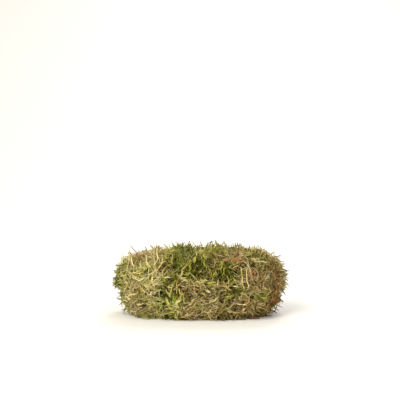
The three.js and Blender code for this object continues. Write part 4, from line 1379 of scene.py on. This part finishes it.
def tray_floor():
    """A floor that turns up all round, close behind the clump and far off at the ends and in front:
    the profiles of x and of y on a grid, each point as high as the higher of the two."""
    far, behind = side_profile(4.0, 0.5, 1.2), side_profile(0.7, 0.5, 3.0)
    x, x_height = np.append(-far[0][:0:-1], far[0]), np.append(far[1][:0:-1], far[1])
    y, y_height = np.append(-far[0][:0:-1], behind[0]), np.append(far[1][:0:-1], behind[1])
    height = np.maximum(x_height[:, None], y_height)
    points = np.stack(np.broadcast_arrays(x[:, None], y, height), -1)
    corner = (np.arange(len(x) - 1)[:, None] * len(y) + np.arange(len(y) - 1)).reshape(-1, 1)
    faces = corner + np.array([0, len(y), len(y) + 1, 1])
    mesh = bpy.data.meshes.new("floor")
    mesh.from_pydata(points.reshape(-1, 3).tolist(), [], faces.tolist())
    mesh.polygons.foreach_set("use_smooth", [True] * len(faces))
    mesh.materials.append(plain_material("pale floor", "f4f2ee", 0.8))
    floor = bpy.data.objects.new("floor", mesh)
    bpy.context.scene.collection.objects.link(floor)
    return floor


tray_floor()


def aimed(thing, place, target):
    """Puts a lamp or camera at a place, looking at a target."""
    thing.location = place
    x, y, z = np.array(target, float) - np.array(place, float)
    thing.rotation_euler = (math.atan2(math.hypot(x, y), -z), 0, math.atan2(-x, y))
    bpy.context.scene.collection.objects.link(thing)


def soft_light(name, place, size, power, tint_code):
    """A square area lamp aimed at the clump."""
    lamp = bpy.data.lights.new(name, "AREA")
    lamp.size, lamp.energy, lamp.color = size, power, colour(tint_code)[:3]
    aimed(bpy.data.objects.new(name, lamp), place, (0, 0, 0.03))


soft_light("key light", (-0.55, -0.75, 0.85), 0.7, 11.2, "fffaf0")
soft_light("fill light", (0.9, -0.8, 0.5), 0.9, 5, "fbfaf6")
soft_light("back light", (0.2, 0.9, 0.9), 0.7, 6, "ffffff")
world = bpy.data.worlds.new("studio")
world.use_nodes = True
sky = {"Color": colour("f8f7f4"), "Strength": 0.66}
Nodes(world.node_tree).fill(world.node_tree.nodes["Background"], sky)
bpy.context.scene.world = world
bpy.context.scene.view_settings.view_transform = "Standard"

CAMERA_DISTANCE = 0.7
CAMERA_PITCH = math.radians(4)
SENSOR_WIDTH = 36
FRAME_WIDTH = 0.305  # what the picture spans at the clump
AXIS_ABOVE = 0.087  # where the camera's axis passes over the clump's middle
camera_data = bpy.data.cameras.new("camera")
camera_data.sensor_width = SENSOR_WIDTH
camera_data.lens = SENSOR_WIDTH / FRAME_WIDTH * CAMERA_DISTANCE
camera = bpy.data.objects.new("camera", camera_data)
camera_height = AXIS_ABOVE + CAMERA_DISTANCE * math.tan(CAMERA_PITCH)
aimed(camera, (0, -CAMERA_DISTANCE, camera_height), (0, 0, AXIS_ABOVE))
bpy.context.scene.camera = camera
